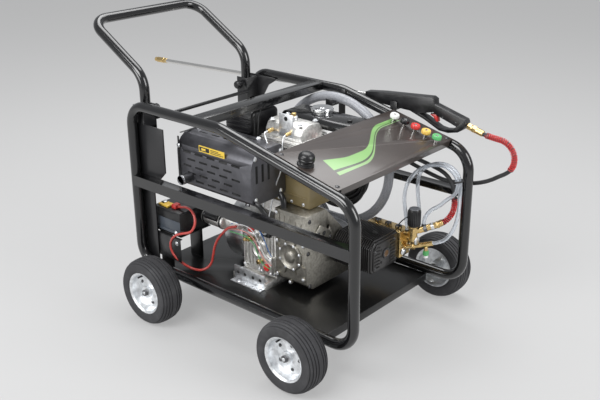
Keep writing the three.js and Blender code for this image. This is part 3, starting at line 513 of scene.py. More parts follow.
def hose(name, points, radius, finish, replaces):
    """A smooth curve through the points, in drawing millimetres."""
    line = [row(*p) for p in points]
    data = bpy.data.curves.new(name, "CURVE")
    data.dimensions = "3D"
    data.bevel_depth = radius * MM
    data.bevel_resolution = 5
    data.resolution_u = 6
    data.use_fill_caps = True
    spline = data.splines.new("BEZIER")
    spline.bezier_points.add(len(line) - 1)
    for knot, place in zip(spline.bezier_points, line):
        knot.co = place
        knot.handle_left_type = knot.handle_right_type = "AUTO"
    data.materials.append(finish)
    made = bpy.data.objects.new(name, data)
    bpy.context.scene.collection.objects.link(made)
    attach(made, "trolley")
    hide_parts(*replaces)
    graph = bpy.context.evaluated_depsgraph_get()
    plain = data.copy()
    plain.bevel_depth = 0
    probe = bpy.data.objects.new("probe", plain)
    bpy.context.scene.collection.objects.link(probe)
    graph.update()
    drawn = bpy.data.meshes.new_from_object(probe.evaluated_get(graph))
    bpy.data.objects.remove(probe)
    bpy.data.meshes.remove(drawn)
    return made


# %% [markdown]
# A route is a list of points that the hose passes through. A coil is worked out from its turns,
# because points typed by hand would never lie a hose width apart.

# %% Hose routes
HP_HOSE_R = 7.5
HP_CENTRE = (-40, 483)
PUMP_RUN = [
    (437.4, 263.1, 376.7), (448, 271, 383), (460, 279, 394), (471, 286, 410), (479, 290, 430), (482, 292, 456),
    (480, 293, 485), (472, 295, 515), (456, 298, 541), (436, 301, 557), (410, 304, 567), (380, 307, 573),
    (340, 310, 579), (300, 312, 585), (258, 312, 592), (225, 312, 599), (190, 309, 607), (140, 303, 616),
    (100, 296, 622), (66, 291, 625),
]
GUN_RUN = [
    (119, 268, 540), (132.7, 279.4, 559), (149.8, 291.9, 573.4), (172.1, 303.9, 579.9), (200, 310.1, 579.1),
    (230, 312, 573), (258, 312, 567), (290, 312, 559), (340, 311, 547), (390, 310, 537), (420, 314, 531),
    (450, 325, 527), (484, 345, 524), (514, 360, 527), (545, 368, 536), (578, 371, 552.5), (605.9, 371, 571.2),
    (629.9, 371.1, 587.1), (645.7, 370.9, 601.9), (656.2, 370.5, 620.8), (659.7, 370.1, 642),
    (655.9, 370, 663.1), (645.3, 370, 681.8), (629, 370, 695.8), (608.8, 370, 703.7), (580, 370, 705.5),
    (545, 370, 708.9), (504.9, 370, 718.3), (471, 370, 728),
]
# Each turn of the coil has its own radius and layer: in through the first layer, out through the second.
HP_TURNS = [(152.5, 287.5), (137.5, 287.5), (122.5, 287.5), (107.5, 287.5), (107.5, 272.5), (122.5, 272.5),
            (137.5, 272.5), (152.5, 272.5), (152.5, 257.5), (152.5, 257.5)]
STEPS_A_TURN = 24
FIRST_ANGLE = 60


def coil_points(turns, centre, first, last_angle, share=0.25):
    """Points along a coil that keeps each turn's radius and moves to the next over its last share."""
    points = []
    angle = first
    while angle <= 360 * (len(turns) - 1) + last_angle:
        index = int(angle // 360)
        part = angle / 360 - index
        radius, y = turns[index]
        next_radius, next_y = turns[min(index + 1, len(turns) - 1)]
        blend = max(0.0, (part - (1 - share)) / share)
        blend = blend * blend * (3 - 2 * blend)
        radius += (next_radius - radius) * blend
        y += (next_y - y) * blend
        turn = math.radians(angle)
        points.append((centre[0] + radius * math.cos(turn), y, centre[1] + radius * math.sin(turn)))
        angle += 360 / STEPS_A_TURN
    return points


hp_route = PUMP_RUN + coil_points(HP_TURNS, HP_CENTRE, FIRST_ANGLE + 15, 0) + GUN_RUN

SUCTION_R = 18
SUCTION_CENTRE = (-40, 518)
SUCTION_RADIUS = 250
suction_turn = []
for step in range(0, 31):
    share = step / 30
    angle = math.radians(270 - 360 * share)
    suction_turn.append((SUCTION_CENTRE[0] + SUCTION_RADIUS * math.cos(angle), 243 + 37 * share,
                         SUCTION_CENTRE[1] + SUCTION_RADIUS * math.sin(angle)))
suction_route = ([(171.2, 214, 270), (136, 215, 270), (100, 216, 269.6), (60, 222, 268.6), (10, 235, 268)]
                 + suction_turn + [(-75, 280, 268), (-120, 280, 268), (-181, 280, 268)])

BYPASS_R = 7
BYPASS_1 = [
    (340, 210, 348.9), (339.8, 210.1, 357.8), (338.5, 210.6, 366.7), (336, 210.9, 375.3), (330.9, 213.9, 392),
    (322, 218, 425), (312, 226, 455), (308, 236, 485), (312, 246, 515), (328, 254, 545), (352, 258, 570),
    (385, 261, 590), (420, 262, 600.8), (458.6, 261.8, 602.6), (489.9, 262.1, 586.1), (505, 263, 561.2),
    (507.1, 263.9, 534.9), (494.7, 264.1, 505.9), (467.6, 261.8, 480.5), (440.2, 258.8, 451.8),
    (412.3, 248.4, 429.5), (400.2, 237.4, 409), (396.4, 232.6, 390.9), (396, 232, 378.8),
]
BYPASS_2 = [
    (366, 240, 352.5), (365.8, 240.6, 366), (364.1, 244.9, 386), (358, 256, 415), (346, 266, 450),
    (336, 274, 485), (333, 279, 520), (341, 280, 550), (362, 280, 574), (392, 280, 592), (425, 280, 601.9),
    (460.1, 280, 600.4), (487.7, 280, 585.7), (503.7, 280, 561.9), (508.4, 280, 535), (508.9, 280, 495),
    (509, 279, 455), (506, 276, 415), (498, 272, 378), (484, 267, 346), (464.1, 262.1, 321.8),
    (443.7, 256.9, 310.1), (426.5, 252.2, 303.2),
]
CABLE_R = 5
CABLE = [
    (-386.7, -250, 391), (-374, -250.5, 392.5), (-358, -252.5, 396.4), (-340, -256, 402.5), (-318, -263, 407.5),
    (-296, -269, 409), (-274.9, -275.5, 403.5), (-259.6, -280.9, 389.2), (-253.5, -286.7, 370.1),
    (-255.1, -290.7, 357.1), (-269, -295.5, 335.8), (-297.1, -297, 322.2), (-328, -298, 310), (-356, -298, 294),
    (-377, -298, 273), (-386.1, -298, 248), (-380.7, -297.1, 224.1), (-363.2, -296, 204.7), (-340, -288, 186),
    (-320, -275, 170), (-305.1, -256.1, 155.8), (-290, -236, 149.8), (-276.3, -218.4, 156.7),
    (-265.6, -205.5, 175.7), (-258.1, -200.1, 210), (-248, -198, 250), (-232, -194, 284), (-209.9, -190, 312),
    (-189.3, -183.8, 334.4), (-169.3, -179.7, 344.6), (-152, -177, 350),
]


# %% [markdown]
# Near its ends a pressure hose has a wound guard against kinks and a crimped metal coupling.
# Both follow the points of the hose itself, so they stay on it.

# %% Pieces on the hoses
def spring_guard(name, points, wrap, wire, pitch, finish):
    """A strand wound round a hose along part of its route, with a cuff at each end."""
    line = [Vector(p) for p in points]
    fine = []
    for a, b in zip(line, line[1:]):
        fine += [a.lerp(b, k / 12) for k in range(12)]
    fine.append(line[-1])
    coil = []
    travelled = 0.0
    across = None
    for i, here in enumerate(fine[:-1]):
        ahead = (fine[i + 1] - here).normalized()
        across = ahead.orthogonal() if across is None else across
        across = (across - ahead * across.dot(ahead)).normalized()
        side = ahead.cross(across)
        step = (fine[i + 1] - here).length
        for k in range(4):
            place = here + ahead * step * k / 4
            turn = math.tau * (travelled + step * k / 4) / pitch
            coil.append(place + across * wrap * math.cos(turn) + side * wrap * math.sin(turn))
        travelled += step
    bench = Bench().tube(coil, wire, 6)
    for a, b in ((line[0], line[1]), (line[-1], line[-2])):
        bench.rod(a, a + (b - a).normalized() * 14, wrap + wire * 0.6, 1, 24, 2)
    return bench.piece(name, "trolley", "hose_rubber", [finish, black_plastic])


gun_guard = spring_guard("gun_hose_guard", GUN_RUN[-11:-2], 9.4, 2.1, 7.5, guard_red)
pump_guard = spring_guard("pump_hose_guard", PUMP_RUN[1:7], 9.4, 2.1, 7.5, guard_red)


def coupling(name, first, second, sizes, finish):
    """A crimped hose end: hexagons, plain necks and a ringed sleeve, one after another along the hose."""
    start, end = Vector(first), Vector(second)
    along = (end - start).normalized()
    bench = Bench()
    done = 0.0
    for kind, length, radius in sizes:
        here, there = start + along * done, start + along * (done + length)
        sides, chamfer = (6, 1.2) if kind == "hex" else (28, 1.0)
        bench.rod(here, there, radius, 0, sides, chamfer)
        if kind == "sleeve":
            for ring in range(3):
                middle = here + along * length * (0.25 + 0.25 * ring)
                bench.rod(middle - along * 1.2, middle + along * 1.2, radius + 0.8, 0, 28, 0.5)
        done += length
    return bench.piece(name, "trolley", "brass", [finish])


gun_coupling = coupling("gun_hose_coupling", GUN_RUN[-1], GUN_RUN[-3],
                        [("hex", 14, 12.5), ("plain", 6, 10), ("hex", 14, 13.5), ("sleeve", 30, 11)], brass)
pump_coupling = coupling("pump_hose_coupling", (433, 259.8, 374.6), PUMP_RUN[2],
                         [("hex", 9, 13.5), ("sleeve", 17, 11.5)], brass)

# %% Lay the hoses
hose("high_pressure_hose", hp_route, HP_HOSE_R, rubber_black,
     ["pressure_hose_coil", "pressure_hose_run_pump", "pressure_hose_run_gun"])
hose("suction_hose", suction_route, SUCTION_R, braided_hose,
     ["suction_hose_coil", "suction_hose_tail"])
hose("bypass_hose_a", BYPASS_1, BYPASS_R, milky_hose, ["bypass_hose_1"])
hose("bypass_hose_b", BYPASS_2, BYPASS_R, milky_hose, ["bypass_hose_2"])
hose("battery_lead", CABLE, CABLE_R, cable_red, ["battery_cable"])

# %% [markdown]
# ## The trolley
# Each side frame is one tube bent into a closed hoop, so it is swept as one: circles set square to
# a rounded path and bridged. Forty sides keep the highlights on the gloss paint smooth.

# %% Side hoops
TUBE_R = 19
HOOP_Y = 324
REAR_X, FRONT_X, TOP_Z, KNEE_X, SLOPE_END_Z = -525, 511, 781, -57, 648
TYRE_R, AXLE_R, AXLE_X, WHEEL_Y = 128, 8, 345.5, 432.5
AXLE_Z = TYRE_R * math.cos(math.pi / 24)
BOTTOM_Z = AXLE_Z + AXLE_R + 0.5 + TUBE_R
SIDES = (("left", 1), ("right", -1))

for side, s in SIDES:
    y = s * HOOP_Y
    hoop = rounded_path([(REAR_X, y, BOTTOM_Z, 80), (REAR_X, y, TOP_Z, 75), (KNEE_X, y, TOP_Z, 150),
                         (FRONT_X, y, SLOPE_END_Z, 90), (FRONT_X, y, BOTTOM_Z, 80)], loop=True)
    Bench().tube(hoop, TUBE_R, 40, loop=True).piece(
        f"frame_hoop_{side}", "trolley", "frame_black", [gloss_black], [f"side_hoop_{side}"])
    Bench().cad(f"mid_rail_{side}", 1.2).piece(
        f"frame_rail_{side}", "trolley", "frame_black", [gloss_black], [f"mid_rail_{side}"])

# %% [markdown]
# The beam and tray are folded plate. Their skeleton shapes are right, so a copy with rounded edges is enough.

# %% Cross beam and tray
beam = Bench().cad("cross_beam", 2.5)
beam.piece("frame_cross_beam", "trolley", "frame_black", [gloss_black], ["cross_beam"])
tray = Bench().cad("base_tray", 1.0)
tray.piece("floor_tray", "trolley", "satin_black", [tray_black], ["base_tray"])

# %% [markdown]
# The handle is one tube bent four times. It is swept like the hoops, and a Boolean drills it for its pivot.

# %% Push handle
LEG_X, LEG_Y = -515, 263.5
PIVOT_Z, PIVOT_HOLE_R = 668, 6.4
CLAMP_Z = 745
handle_path = rounded_path([(LEG_X, -LEG_Y, 656), (LEG_X, -LEG_Y, 871, 90), (-801, -LEG_Y, 1042, 70),
                            (-801, LEG_Y, 1042, 70), (LEG_X, LEG_Y, 871, 90), (LEG_X, LEG_Y, 656)])
handle = Bench().tube(handle_path, TUBE_R, 40)
drill = Bench()
for s in (1, -1):
    drill.rod((LEG_X, s * (LEG_Y - 30), PIVOT_Z), (LEG_X, s * (LEG_Y + 30), PIVOT_Z), PIVOT_HOLE_R, chamfer=0)
carve(handle, drill, 0)
handle.piece("handle_tube", "push_handle", "frame_black", [gloss_black], ["push_handle"])
bracket = Bench().cad("handle_mount", 0.8)
bracket.piece("handle_bracket", "trolley", "satin_black", [satin_black], ["handle_mount"])

# %% [markdown]
# ## Wheels
# Each tyre is one spun profile: a smooth wall, then grooves that step over the shoulder to the tread.
# The rim is a spun pressing with a bolted web, so it gets its own bolts and a valve.

# %% Tyre and rim
GROUND_R = 126.9
TYRE_PROFILE = [(80, -43), (84, -46), (92, -47), (109, -47), (113, -46), (114.4, -44.6), (112.4, -43.4),
                (112.8, -41.6), (116.6, -41.4), (120.4, -37.6), (121, -36), (118.4, -35), (118.8, -33), (122.6, -32),
                (124.6, -27), (124.8, -25.6), (121.8, -24.6), (121.8, -22), (125.2, -21), (126.2, -15), (126.2, -14),
                (123, -13), (123, -10), (126.4, -9), (GROUND_R, -1), (GROUND_R, 1), (126.4, 9), (123, 10), (123, 13),
                (126.2, 14), (126.2, 15), (125.2, 21), (121.8, 22), (121.8, 24.6), (124.8, 25.6), (124.6, 27),
                (122.6, 32), (118.8, 33), (118.4, 35), (121, 36), (120.4, 37.6), (116.6, 41.4), (112.8, 41.6),
                (112.4, 43.4), (114.4, 44.6), (113, 46), (109, 47), (92, 47), (84, 46), (80, 43)]
RIM_PROFILE = [(8.4, -38), (22, -38), (22, 5), (56, 6), (66, 2), (70, -26), (71, -38), (76, -42), (79.4, -43),
               (79.6, -40), (74, -34), (74, 34), (79.6, 40), (79.4, 43), (76, 42), (71, 38), (68, 22), (62, 14.5),
               (52, 12), (40, 14), (26, 14), (22, 16), (22, 30), (8.4, 30)]

RIM_BOLTS, BOLT_RING_R = 5, 45
VALVE_RING_R, VALVE_ANGLE = 61, 2.2

for end, x in (("front", AXLE_X), ("rear", -AXLE_X)):
    for side, s in SIDES:
        hub = (x, s * WHEEL_Y, AXLE_Z)
        tyre = Bench().turned(TYRE_PROFILE, (0, s, 0), hub, 96, closed=True)
        tyre.piece(f"wheel_tyre_{end}_{side}", f"wheel_{end}_{side}", "tyre_rubber", [tyre_rubber],
                   [f"tyre_{end}_{side}"])
        rim = Bench().turned(RIM_PROFILE, (0, s, 0), hub, 72, closed=True)
        for hole in range(RIM_BOLTS):
            turn = math.tau * hole / RIM_BOLTS
            spot = (x + BOLT_RING_R * math.cos(turn), s * (WHEEL_Y + 12.5), AXLE_Z + BOLT_RING_R * math.sin(turn))
            rim.bolt(spot, (0, s, 0), 5, 4.5, 1)
        valve = (x + VALVE_RING_R * math.cos(VALVE_ANGLE), s * (WHEEL_Y + 12),
                 AXLE_Z + VALVE_RING_R * math.sin(VALVE_ANGLE))
        rim.rod(valve, (valve[0], valve[1] + s * 22, valve[2]), 3.4, 2, 16)
        rim.piece(f"wheel_rim_{end}_{side}", f"wheel_{end}_{side}", "rim_zinc",
                  [bright_zinc, dark_steel, black_plastic], [f"rim_{end}_{side}"])
    axle = Bench().cad(f"axle_{end}", 0.6)
    for side, s in SIDES:
        axle.rod((x, s * 470, AXLE_Z), (x, s * 474, AXLE_Z), 6.2, 1, 24, 1.5)
    axle.piece(f"wheel_axle_{end}", "trolley", "steel", [dark_steel, bright_zinc], [f"axle_{end}"])

# %% [markdown]
# ## The control panel
# The panel is a folded sheet on the slope of the frame. Its swoosh is painted by the shader: two
# soft steps in the panel's own directions bound a broad green band, with a dark line and a thinner band below.

# %% Panel finish
SLOPE = math.atan2(TOP_Z - SLOPE_END_Z, FRONT_X - KNEE_X)


def on_slope(x, y, z):
    """A point in the slope's own frame, in the drawing's millimetres."""
    return (KNEE_X + x * math.cos(SLOPE) + z * math.sin(SLOPE), y,
            TOP_Z - x * math.sin(SLOPE) + z * math.cos(SLOPE))


SLOPE_UP = (math.sin(SLOPE), 0, math.cos(SLOPE))


# How far down the swoosh the green band ends, its dark line ends and the pale band starts.
GREEN_END, LINE_END, PALE_START = 0.68, 0.78, 0.82


def panel_finish():
    made = Finish("panel_paint")
    x, y, z = made.axes()
    along = (x * 1000 - MIDDLE_SHIFT - KNEE_X) * math.cos(SLOPE) - (z * 1000 - TOP_Z) * math.sin(SLOPE)
    across = y * 1000
    upper = 385 - across.fade(-50, 170) * 98 - (1 - across.fade(-250, -110)) * 34
    lower = 450 - across.fade(-110, 170) * 138
    depth = lower - upper
    inside = (across + 0.3 * along + 110).fade(0, 2) * (1 - (across - 262).fade(0, 4))
    green = (along - upper).fade(0, 1) * (1 - (along - upper - depth * GREEN_END).fade(0, 1)) * inside
    edge = ((along - upper - depth * GREEN_END).fade(0, 1)
            * (1 - (along - upper - depth * LINE_END).fade(0, 1)) * inside)
    pale = (along - upper - depth * PALE_START).fade(0, 1) * (1 - (along - lower).fade(0, 1)) * inside
    broad = made.noise(7, 4)
    ground = made.mix(broad.fade(0.4, 0.8), tone(0.042, 0.032, 0.028), tone(0.055, 0.043, 0.038))
    light = made.mix(broad, tone(0.17, 0.36, 0.1), tone(0.21, 0.41, 0.13))
    base = made.mix(green, ground, light)
    base = made.mix(edge, base, tone(0.03, 0.045, 0.02))
    base = made.mix(pale, base, tone(0.2, 0.36, 0.13))
    fine = made.noise(500, 2)
    return made.surface(base, 0.26 + broad * 0.16, 0.0, fine, 0.1, 0.0003, coat_weight=0.45, coat_roughness=0.15)


panel_paint = panel_finish()
panel = Bench().cad("control_panel", 0.7)
for px, py in ((258, -306), (258, 306), (492, -306), (492, 306)):
    panel.bolt(on_slope(px, py, 21.8), SLOPE_UP, 5.5, 3.5, 1)
panel.piece("panel_sheet", "trolley", "panel_grey", [panel_paint, dark_steel], ["control_panel"])

# %% [markdown]
# These are turned parts that stand square to the slope, so each is one profile spun about the slope normal.

# %% Nozzles, key switch and key
NOZZLES = [("white", white_plastic), ("black", black_plastic), ("red", red_plastic), ("yellow", yellow_nozzle),
           ("green", green_plastic)]
NOZZLE_X, NOZZLE_STEP, NOZZLE_Y = 302, 46, 242
for index, (shade, finish) in enumerate(NOZZLES):
    number = index + 1
    middle = on_slope(NOZZLE_X + NOZZLE_STEP * index, NOZZLE_Y, 0)
    stem = Bench().turned([(0, -8), (4, -8), (7, -4), (8, -3), (8, 34), (0, 34)], SLOPE_UP, middle, 28, 1)
    stem.turned([(0, 34), (14.5, 34), (16.6, 36), (17, 38), (17, 45), (15.4, 48.4), (13.2, 49), (11.5, 47.4),
                 (9, 47), (0, 47)], SLOPE_UP, middle, 36, 0)
    stem.rod(on_slope(NOZZLE_X + NOZZLE_STEP * index, NOZZLE_Y, 46.8),
             on_slope(NOZZLE_X + NOZZLE_STEP * index, NOZZLE_Y, 49), 5.2, 1, 24, 0.6)
    stem.piece(f"nozzle_{shade}", f"nozzle_{number}", f"{shade}_plastic", [finish, steel],
               [f"spray_nozzle_{number}"])

SWITCH = (345, -288)
middle = on_slope(*SWITCH, 0)
switch = Bench().turned([(0, 22.1), (28, 22.1), (28, 25), (25, 27.5), (22, 28.5), (21, 31), (23, 33), (21, 35),
                         (23, 37), (26.2, 38.4), (27, 40), (27, 44), (25.4, 46), (22, 46), (21, 44.6), (0, 44.6)],
                        SLOPE_UP, middle, 48, 0)
switch.turned([(11, 44), (20, 44), (20, 46), (11, 46)], SLOPE_UP, middle, 48, 1, closed=True)
switch.piece("key_switch_body", "trolley", "black_plastic", [black_plastic, dark_steel], ["key_switch"])
key = Bench().turned([(0, 46.3), (25, 46.3), (26.6, 48), (26.4, 52), (23.5, 58), (18, 62.5), (11, 65.3),
                      (0, 66.2)], SLOPE_UP, middle, 48, 0)
key.piece("key_dome", "key", "black_plastic", [black_plastic], ["ignition_key"])

# %% [markdown]
# ## Gun and lance
# The gun's shell is the skeleton's own outline with softly rounded edges. Screws and a trigger
# with a curved face come on top. The lance is drawn steel with a brass nozzle holder.

# %% Gun
gun = Bench().cad("gun_body", 2.6, 0, 25)
for gx, gz in ((330, 752), (375, 745), (430, 735)):
    for face, sy in ((353.2, -1), (386.8, 1)):
        gun.rod((gx, face - sy * 0.5, gz), (gx, face + sy * 1.2, gz), 3.6, 1, 18, 0.4)
gun.piece("gun_shell", "trolley", "black_plastic", [black_plastic, dark_steel], ["gun_body"])
trigger = Bench().cad("gun_trigger", 1.6)
trigger.piece("gun_lever", "trigger", "red_plastic", [red_plastic], ["gun_trigger"])
LANCE_SLOPE = 0.0355
LANCE_END = (-1210, 722)


def lance_at(x, y=370):
    return (x, y, LANCE_END[1] + (x - LANCE_END[0]) * LANCE_SLOPE)


lance = Bench().rod(lance_at(29.1), lance_at(-1205), 9, 0, 32)
lance.rod(lance_at(-1210), lance_at(-1196), 10.6, 1, 6, 1.5)
lance.rod(lance_at(-1196), lance_at(-1150), 12, 1, 32, 2)
lance.rod(lance_at(-1150), lance_at(-1130), 11.4, 1, 6, 1.5)
lance.piece("lance_pipe", "trolley", "steel", [steel, brass], ["lance_tube"])
Bench().cad("gun_holder", 0.8).piece("gun_rest", "trolley", "satin_black", [satin_black], ["gun_holder"])
Bench().cad("hose_hanger", 1.0).piece("hose_hooks", "trolley", "satin_black", [satin_black], ["hose_hanger"])

# %% [markdown]
# A clamp is a knob with finger ribs on a short screw. The ribs are thin rods set round its rim.

# %% Handle clamps
for side, s in SIDES:
    knob = Bench()
    knob.rod((LEG_X, s * 228, CLAMP_Z), (LEG_X, s * 244, CLAMP_Z), 5, 1, 20)
    knob.turned([(0, -13.5), (11, -13.5), (14, -12), (15, -9), (15, 9), (14, 12), (8, 13.5), (0, 13.5)],
                (0, 1, 0), (LEG_X, s * 218.5, CLAMP_Z), 40, 0)
    for rib in range(12):
        turn = math.tau * rib / 12
        spot = (LEG_X + 14.6 * math.cos(turn), CLAMP_Z + 14.6 * math.sin(turn))
        knob.rod((spot[0], s * 209, spot[1]), (spot[0], s * 229, spot[1]), 1.9, 0, 10, 0.6)
    knob.piece(f"clamp_knob_{side}", f"clamp_{side}", "black_plastic", [black_plastic, bright_zinc],
               [f"handle_clamp_{side}"])

# %% [markdown]
# ## The muffler
# The muffler box is the skeleton's rounded box, pierced with rows of slots by a Boolean.
# The slots are staggered like stitches: five rows on the side and four on the top.

# %% Muffler
muffler = Bench().cad("muffler_shield", 16, 0, 40)
slots = Bench()
MUFFLER_Y, MUFFLER_TOP = -250, 685
SIDE_ROWS, TOP_ROWS, SLOTS_A_ROW = 5, 4, 5
SLOT_START, SLOT_LAST = -338, -26
SLOT_LENGTH, SLOT_PITCH, SLOT_STAGGER = 42, 62, 22


def slot_spans(line):
    """Where each slot of a row lies along the box. Every other row is shifted by the stagger."""
    starts = [SLOT_START + number * SLOT_PITCH + (line % 2) * SLOT_STAGGER for number in range(SLOTS_A_ROW)]
    return [(left, left + SLOT_LENGTH) for left in starts if left + SLOT_LENGTH < SLOT_LAST]


for line in range(SIDE_ROWS):
    for span in slot_spans(line):
        slots.block(span, (MUFFLER_Y - 4, MUFFLER_Y + 4), (516 + line * 26, 523.5 + line * 26), 3)
for line in range(TOP_ROWS):
    for span in slot_spans(line):
        slots.block(span, (-218 + line * 30, -210.5 + line * 30), (MUFFLER_TOP - 4, MUFFLER_TOP + 4), 3)
# The slots' cut walls take the near-black matte finish: painted shade inside the slots.
carve(muffler, slots, 1)
for place in ((-345, -160, 685), (-300, -110, 685), (-52, -175, 685), (-90, -110, 685)):
    muffler.turned([(0, 0), (9, 0), (9, 2), (6.5, 6), (3, 7.6), (0, 8)], (0, 0, 1), place, 24, 2)
muffler.rod((-300, -250, 532), (-300, -296, 532), 18, 3, 36)
muffler.turned([(13.5, -2), (17.6, -2), (18, 4), (13.5, 4)], (0, 1, 0), (-300, -299, 532), 36, 2, closed=True)
# A thin near-black disc on the solid outlet pipe's end: painted shade of the open bore, with the pipe's own soot.
muffler.rod((-300, -297, 532), (-300, -296.5, 532), 13.8, 1, 30, 0.1)
# Three thin near-black slabs on the end face: painted shade standing in for vent slots.
for cy in (-222, -192, -162):
    muffler.block((5.2 - 1, 5.2 + 0.9), (cy - 5, cy + 5), (640 - 70, 640 - 6), 0.4, 1)
for cy, cz in ((-228, 660), (-100, 660), (-228, 510), (-100, 510)):
    muffler.bolt((5, cy, cz), (1, 0, 0), 6, 4, 2)
muffler.piece("muffler_case", "trolley", "satin_black", [muffler_metal, matte_black_and_shade, bright_zinc, dark_steel],
              ["muffler_shield"])
strap = Bench()
strap.block((-362, -354), (-252.5, -250.3), (494, 676), 0.6)
strap.block((-362, -354), (-240, -84), (685.3, 687.3), 0.6)
strap.bolt((-358, -252.5, 640), (0, -1, 0), 6, 4, 1)
strap.block((-250, -120), (-251.4, -250.3), (640, 664), 0.3, 2)
strap.block((-246, -196), (-251.9, -251.2), (644, 660), 0.2, 3)
strap.block((-236, -214), (-252.3, -251.7), (648, 656), 0.2, 2)
for bar in range(3):
    strap.block((-190, -126 - 12 * bar), (-251.9, -251.2), (645 + bar * 5.6, 647.4 + bar * 5.6), 0, 3)
strap.piece("muffler_trim", "trolley", "satin_black", [satin_black, bright_zinc, label_yellow, black_plastic])

# %% [markdown]
# ## The engine
# Castings get fins, bosses, covers and bolts. Fins are thin blocks set in rows on the skeleton's block,
# and fittings are spun.

# %% Crankcase and foot
engine = Bench().cad("engine_crankcase", 3.0, 0, 25)
for rib in range(9):
    rx = -156 + rib * 17.5
    engine.block((rx, rx + 4), (-131, -124.5), (190, 330), 1.2)
engine.slab([(-150, 300), (-60, 318), (-40, 372), (-96, 392), (-150, 360)], "y", (-140, -124.5), 3)
engine.slab([(-70, 176), (-8, 176), (-8, 250), (-40, 262), (-70, 232)], "y", (-143, -124.5), 3)
for rx, rz in ((-140, 310), (-66, 326), (-48, 366), (-96, 382), (-142, 354)):
    engine.bolt((rx, -140, rz), (0, -1, 0), 4.5, 3.6, 1)
for rx, rz in ((-62, 184), (-16, 184), (-16, 244), (-62, 228)):
    engine.bolt((rx, -143, rz), (0, -1, 0), 4.5, 3.6, 1)
for rx, rz in ((-158, 180), (-10, 180), (-158, 388), (-10, 388), (-84, 388), (-84, 180)):
    engine.turned([(0, 0), (8.5, 0), (8, 6), (0, 6)], (0, -1, 0), (rx, -125, rz), 24)
    engine.bolt((rx, -131, rz), (0, -1, 0), 5.5, 4, 1)
engine.turned([(0, 0), (40, 0), (40, 3), (36, 8), (30, 9.5), (29, 7), (14, 7), (12, 10), (0, 10)], (0, -1, 0),
              (-84, -125, 262), 48)
for side, s in SIDES:
    for fx in (-148, -20):
        engine.bolt((fx, s * 170, 165), (0, 0, 1), 8, 6, 1)
engine.piece("engine_block", "trolley", "cast_aluminium", [castings, bright_zinc], ["engine_crankcase"])

fittings = Bench()
fittings.block((-160, -8), (-186.5, -178), (140, 196), 1.0, 0)
fittings.block((-160, -8), (-210, -178), (138.8, 142.6), 0.8, 0)
# The four thin near-black discs on the plate's face are painted shade where its holes are dark.
for fx in (-140, -105, -64, -28):
    fittings.rod((fx, -187.4, 172), (fx, -186.2, 172), 6.5, 4, 24, 0.3)
    fittings.bolt((fx + 12, -196, 142.6), (0, 0, 1), 5, 4, 0)
fittings.rod((-60, -136, 228), (-60, -163, 228), 8, 1, 28, 1.5)
fittings.rod((-60, -155, 228), (-60, -162, 228), 11, 1, 6, 1.5)
fittings.rod((-112, -131, 300), (-112, -158, 306), 11, 1, 28, 2)
fittings.rod((-112, -158, 306), (-112, -176, 310), 7.5, 1, 6, 1.5)
fittings.turned([(0, 0), (14, 0), (15, 2), (15, 10), (13, 13), (0, 13.5)], (0, -1, 0), (-110, -134, 345), 32, 2)
fittings.block((-146, -76), (-152, -131), (318, 334), 2.5, 0)
fittings.block((-60, -14), (-146, -131), (330, 372), 3, 3)
fittings.rod((-36, -146, 352), (-36, -152, 352), 12, 0, 32, 1.5)
fittings.rod((-36, -152, 352), (-36, -155, 352), 5, 1, 6, 0.8)
fittings.piece("engine_fittings", "trolley", "steel", [bright_zinc, brass, red_plastic, satin_black, matte_black_and_shade])

WIRES = [
    (label_white, [(-190, -172, 340), (-160, -168, 352), (-120, -160, 356), (-84, -156, 340), (-60, -152, 300),
                   (-40, -150, 262), (-12, -148, 240)]),
    (label_pink, [(-188, -176, 330), (-150, -172, 336), (-112, -166, 334), (-80, -158, 312), (-58, -154, 272),
                  (-30, -152, 236), (-6, -146, 224)]),
    (green_plastic, [(-186, -178, 322), (-148, -174, 322), (-108, -166, 316), (-78, -160, 292), (-64, -156, 254),
                     (-44, -152, 222), (-14, -146, 208)]),
    (wire_blue, [(-184, -170, 350), (-150, -164, 364), (-104, -156, 368), (-62, -150, 352), (-40, -146, 318),
                  (-24, -144, 282), (-8, -142, 258)]),
]


def smooth_line(points, steps=6):
    """Catmull-Rom points through a few control points."""
    points = [Vector(p) for p in points]
    line = []
    for i in range(len(points) - 1):
        before, here, there = points[max(i - 1, 0)], points[i], points[i + 1]
        after = points[min(i + 2, len(points) - 1)]
        for k in range(steps):
            t = k / steps
            line.append(0.5 * (2 * here + (there - before) * t + (2 * before - 5 * here + 4 * there - after) * t ** 2
                               + (3 * here - 3 * there + after - before) * t ** 3))
    return line + [points[-1]]


for number, (finish, points) in enumerate(WIRES):
    wire = Bench().tube(smooth_line(points), 1.9, 10)
    wire.piece(f"engine_wire_{number + 1}", "trolley", "cable_red", [finish])

dip = Bench().turned([(0, 0), (12, 0), (14, 2), (14, 14), (12, 17), (5, 18), (0, 18)], (0, -1, 0),
                     (-33, -132, 208), 36)
for rib in range(10):
    turn = math.tau * rib / 10
    spot = (-33 + 13.4 * math.cos(turn), 208 + 13.4 * math.sin(turn))
    dip.rod((spot[0], -135, spot[1]), (spot[0], -148, spot[1]), 1.5, 0, 8, 0.4)
dip.rod((-33, -133, 208), (-33, -60, 208), 3.5, 1, 16)
dip.piece("oil_cap", "dipstick", "red_plastic", [red_plastic, steel], ["oil_dipstick"])

# %% [markdown]
# Air cools the cylinder, so the head has fins and the cylinder a painted sheet cowl.
# The bolts and pipe unions are added one by one, where a mechanic would find them.

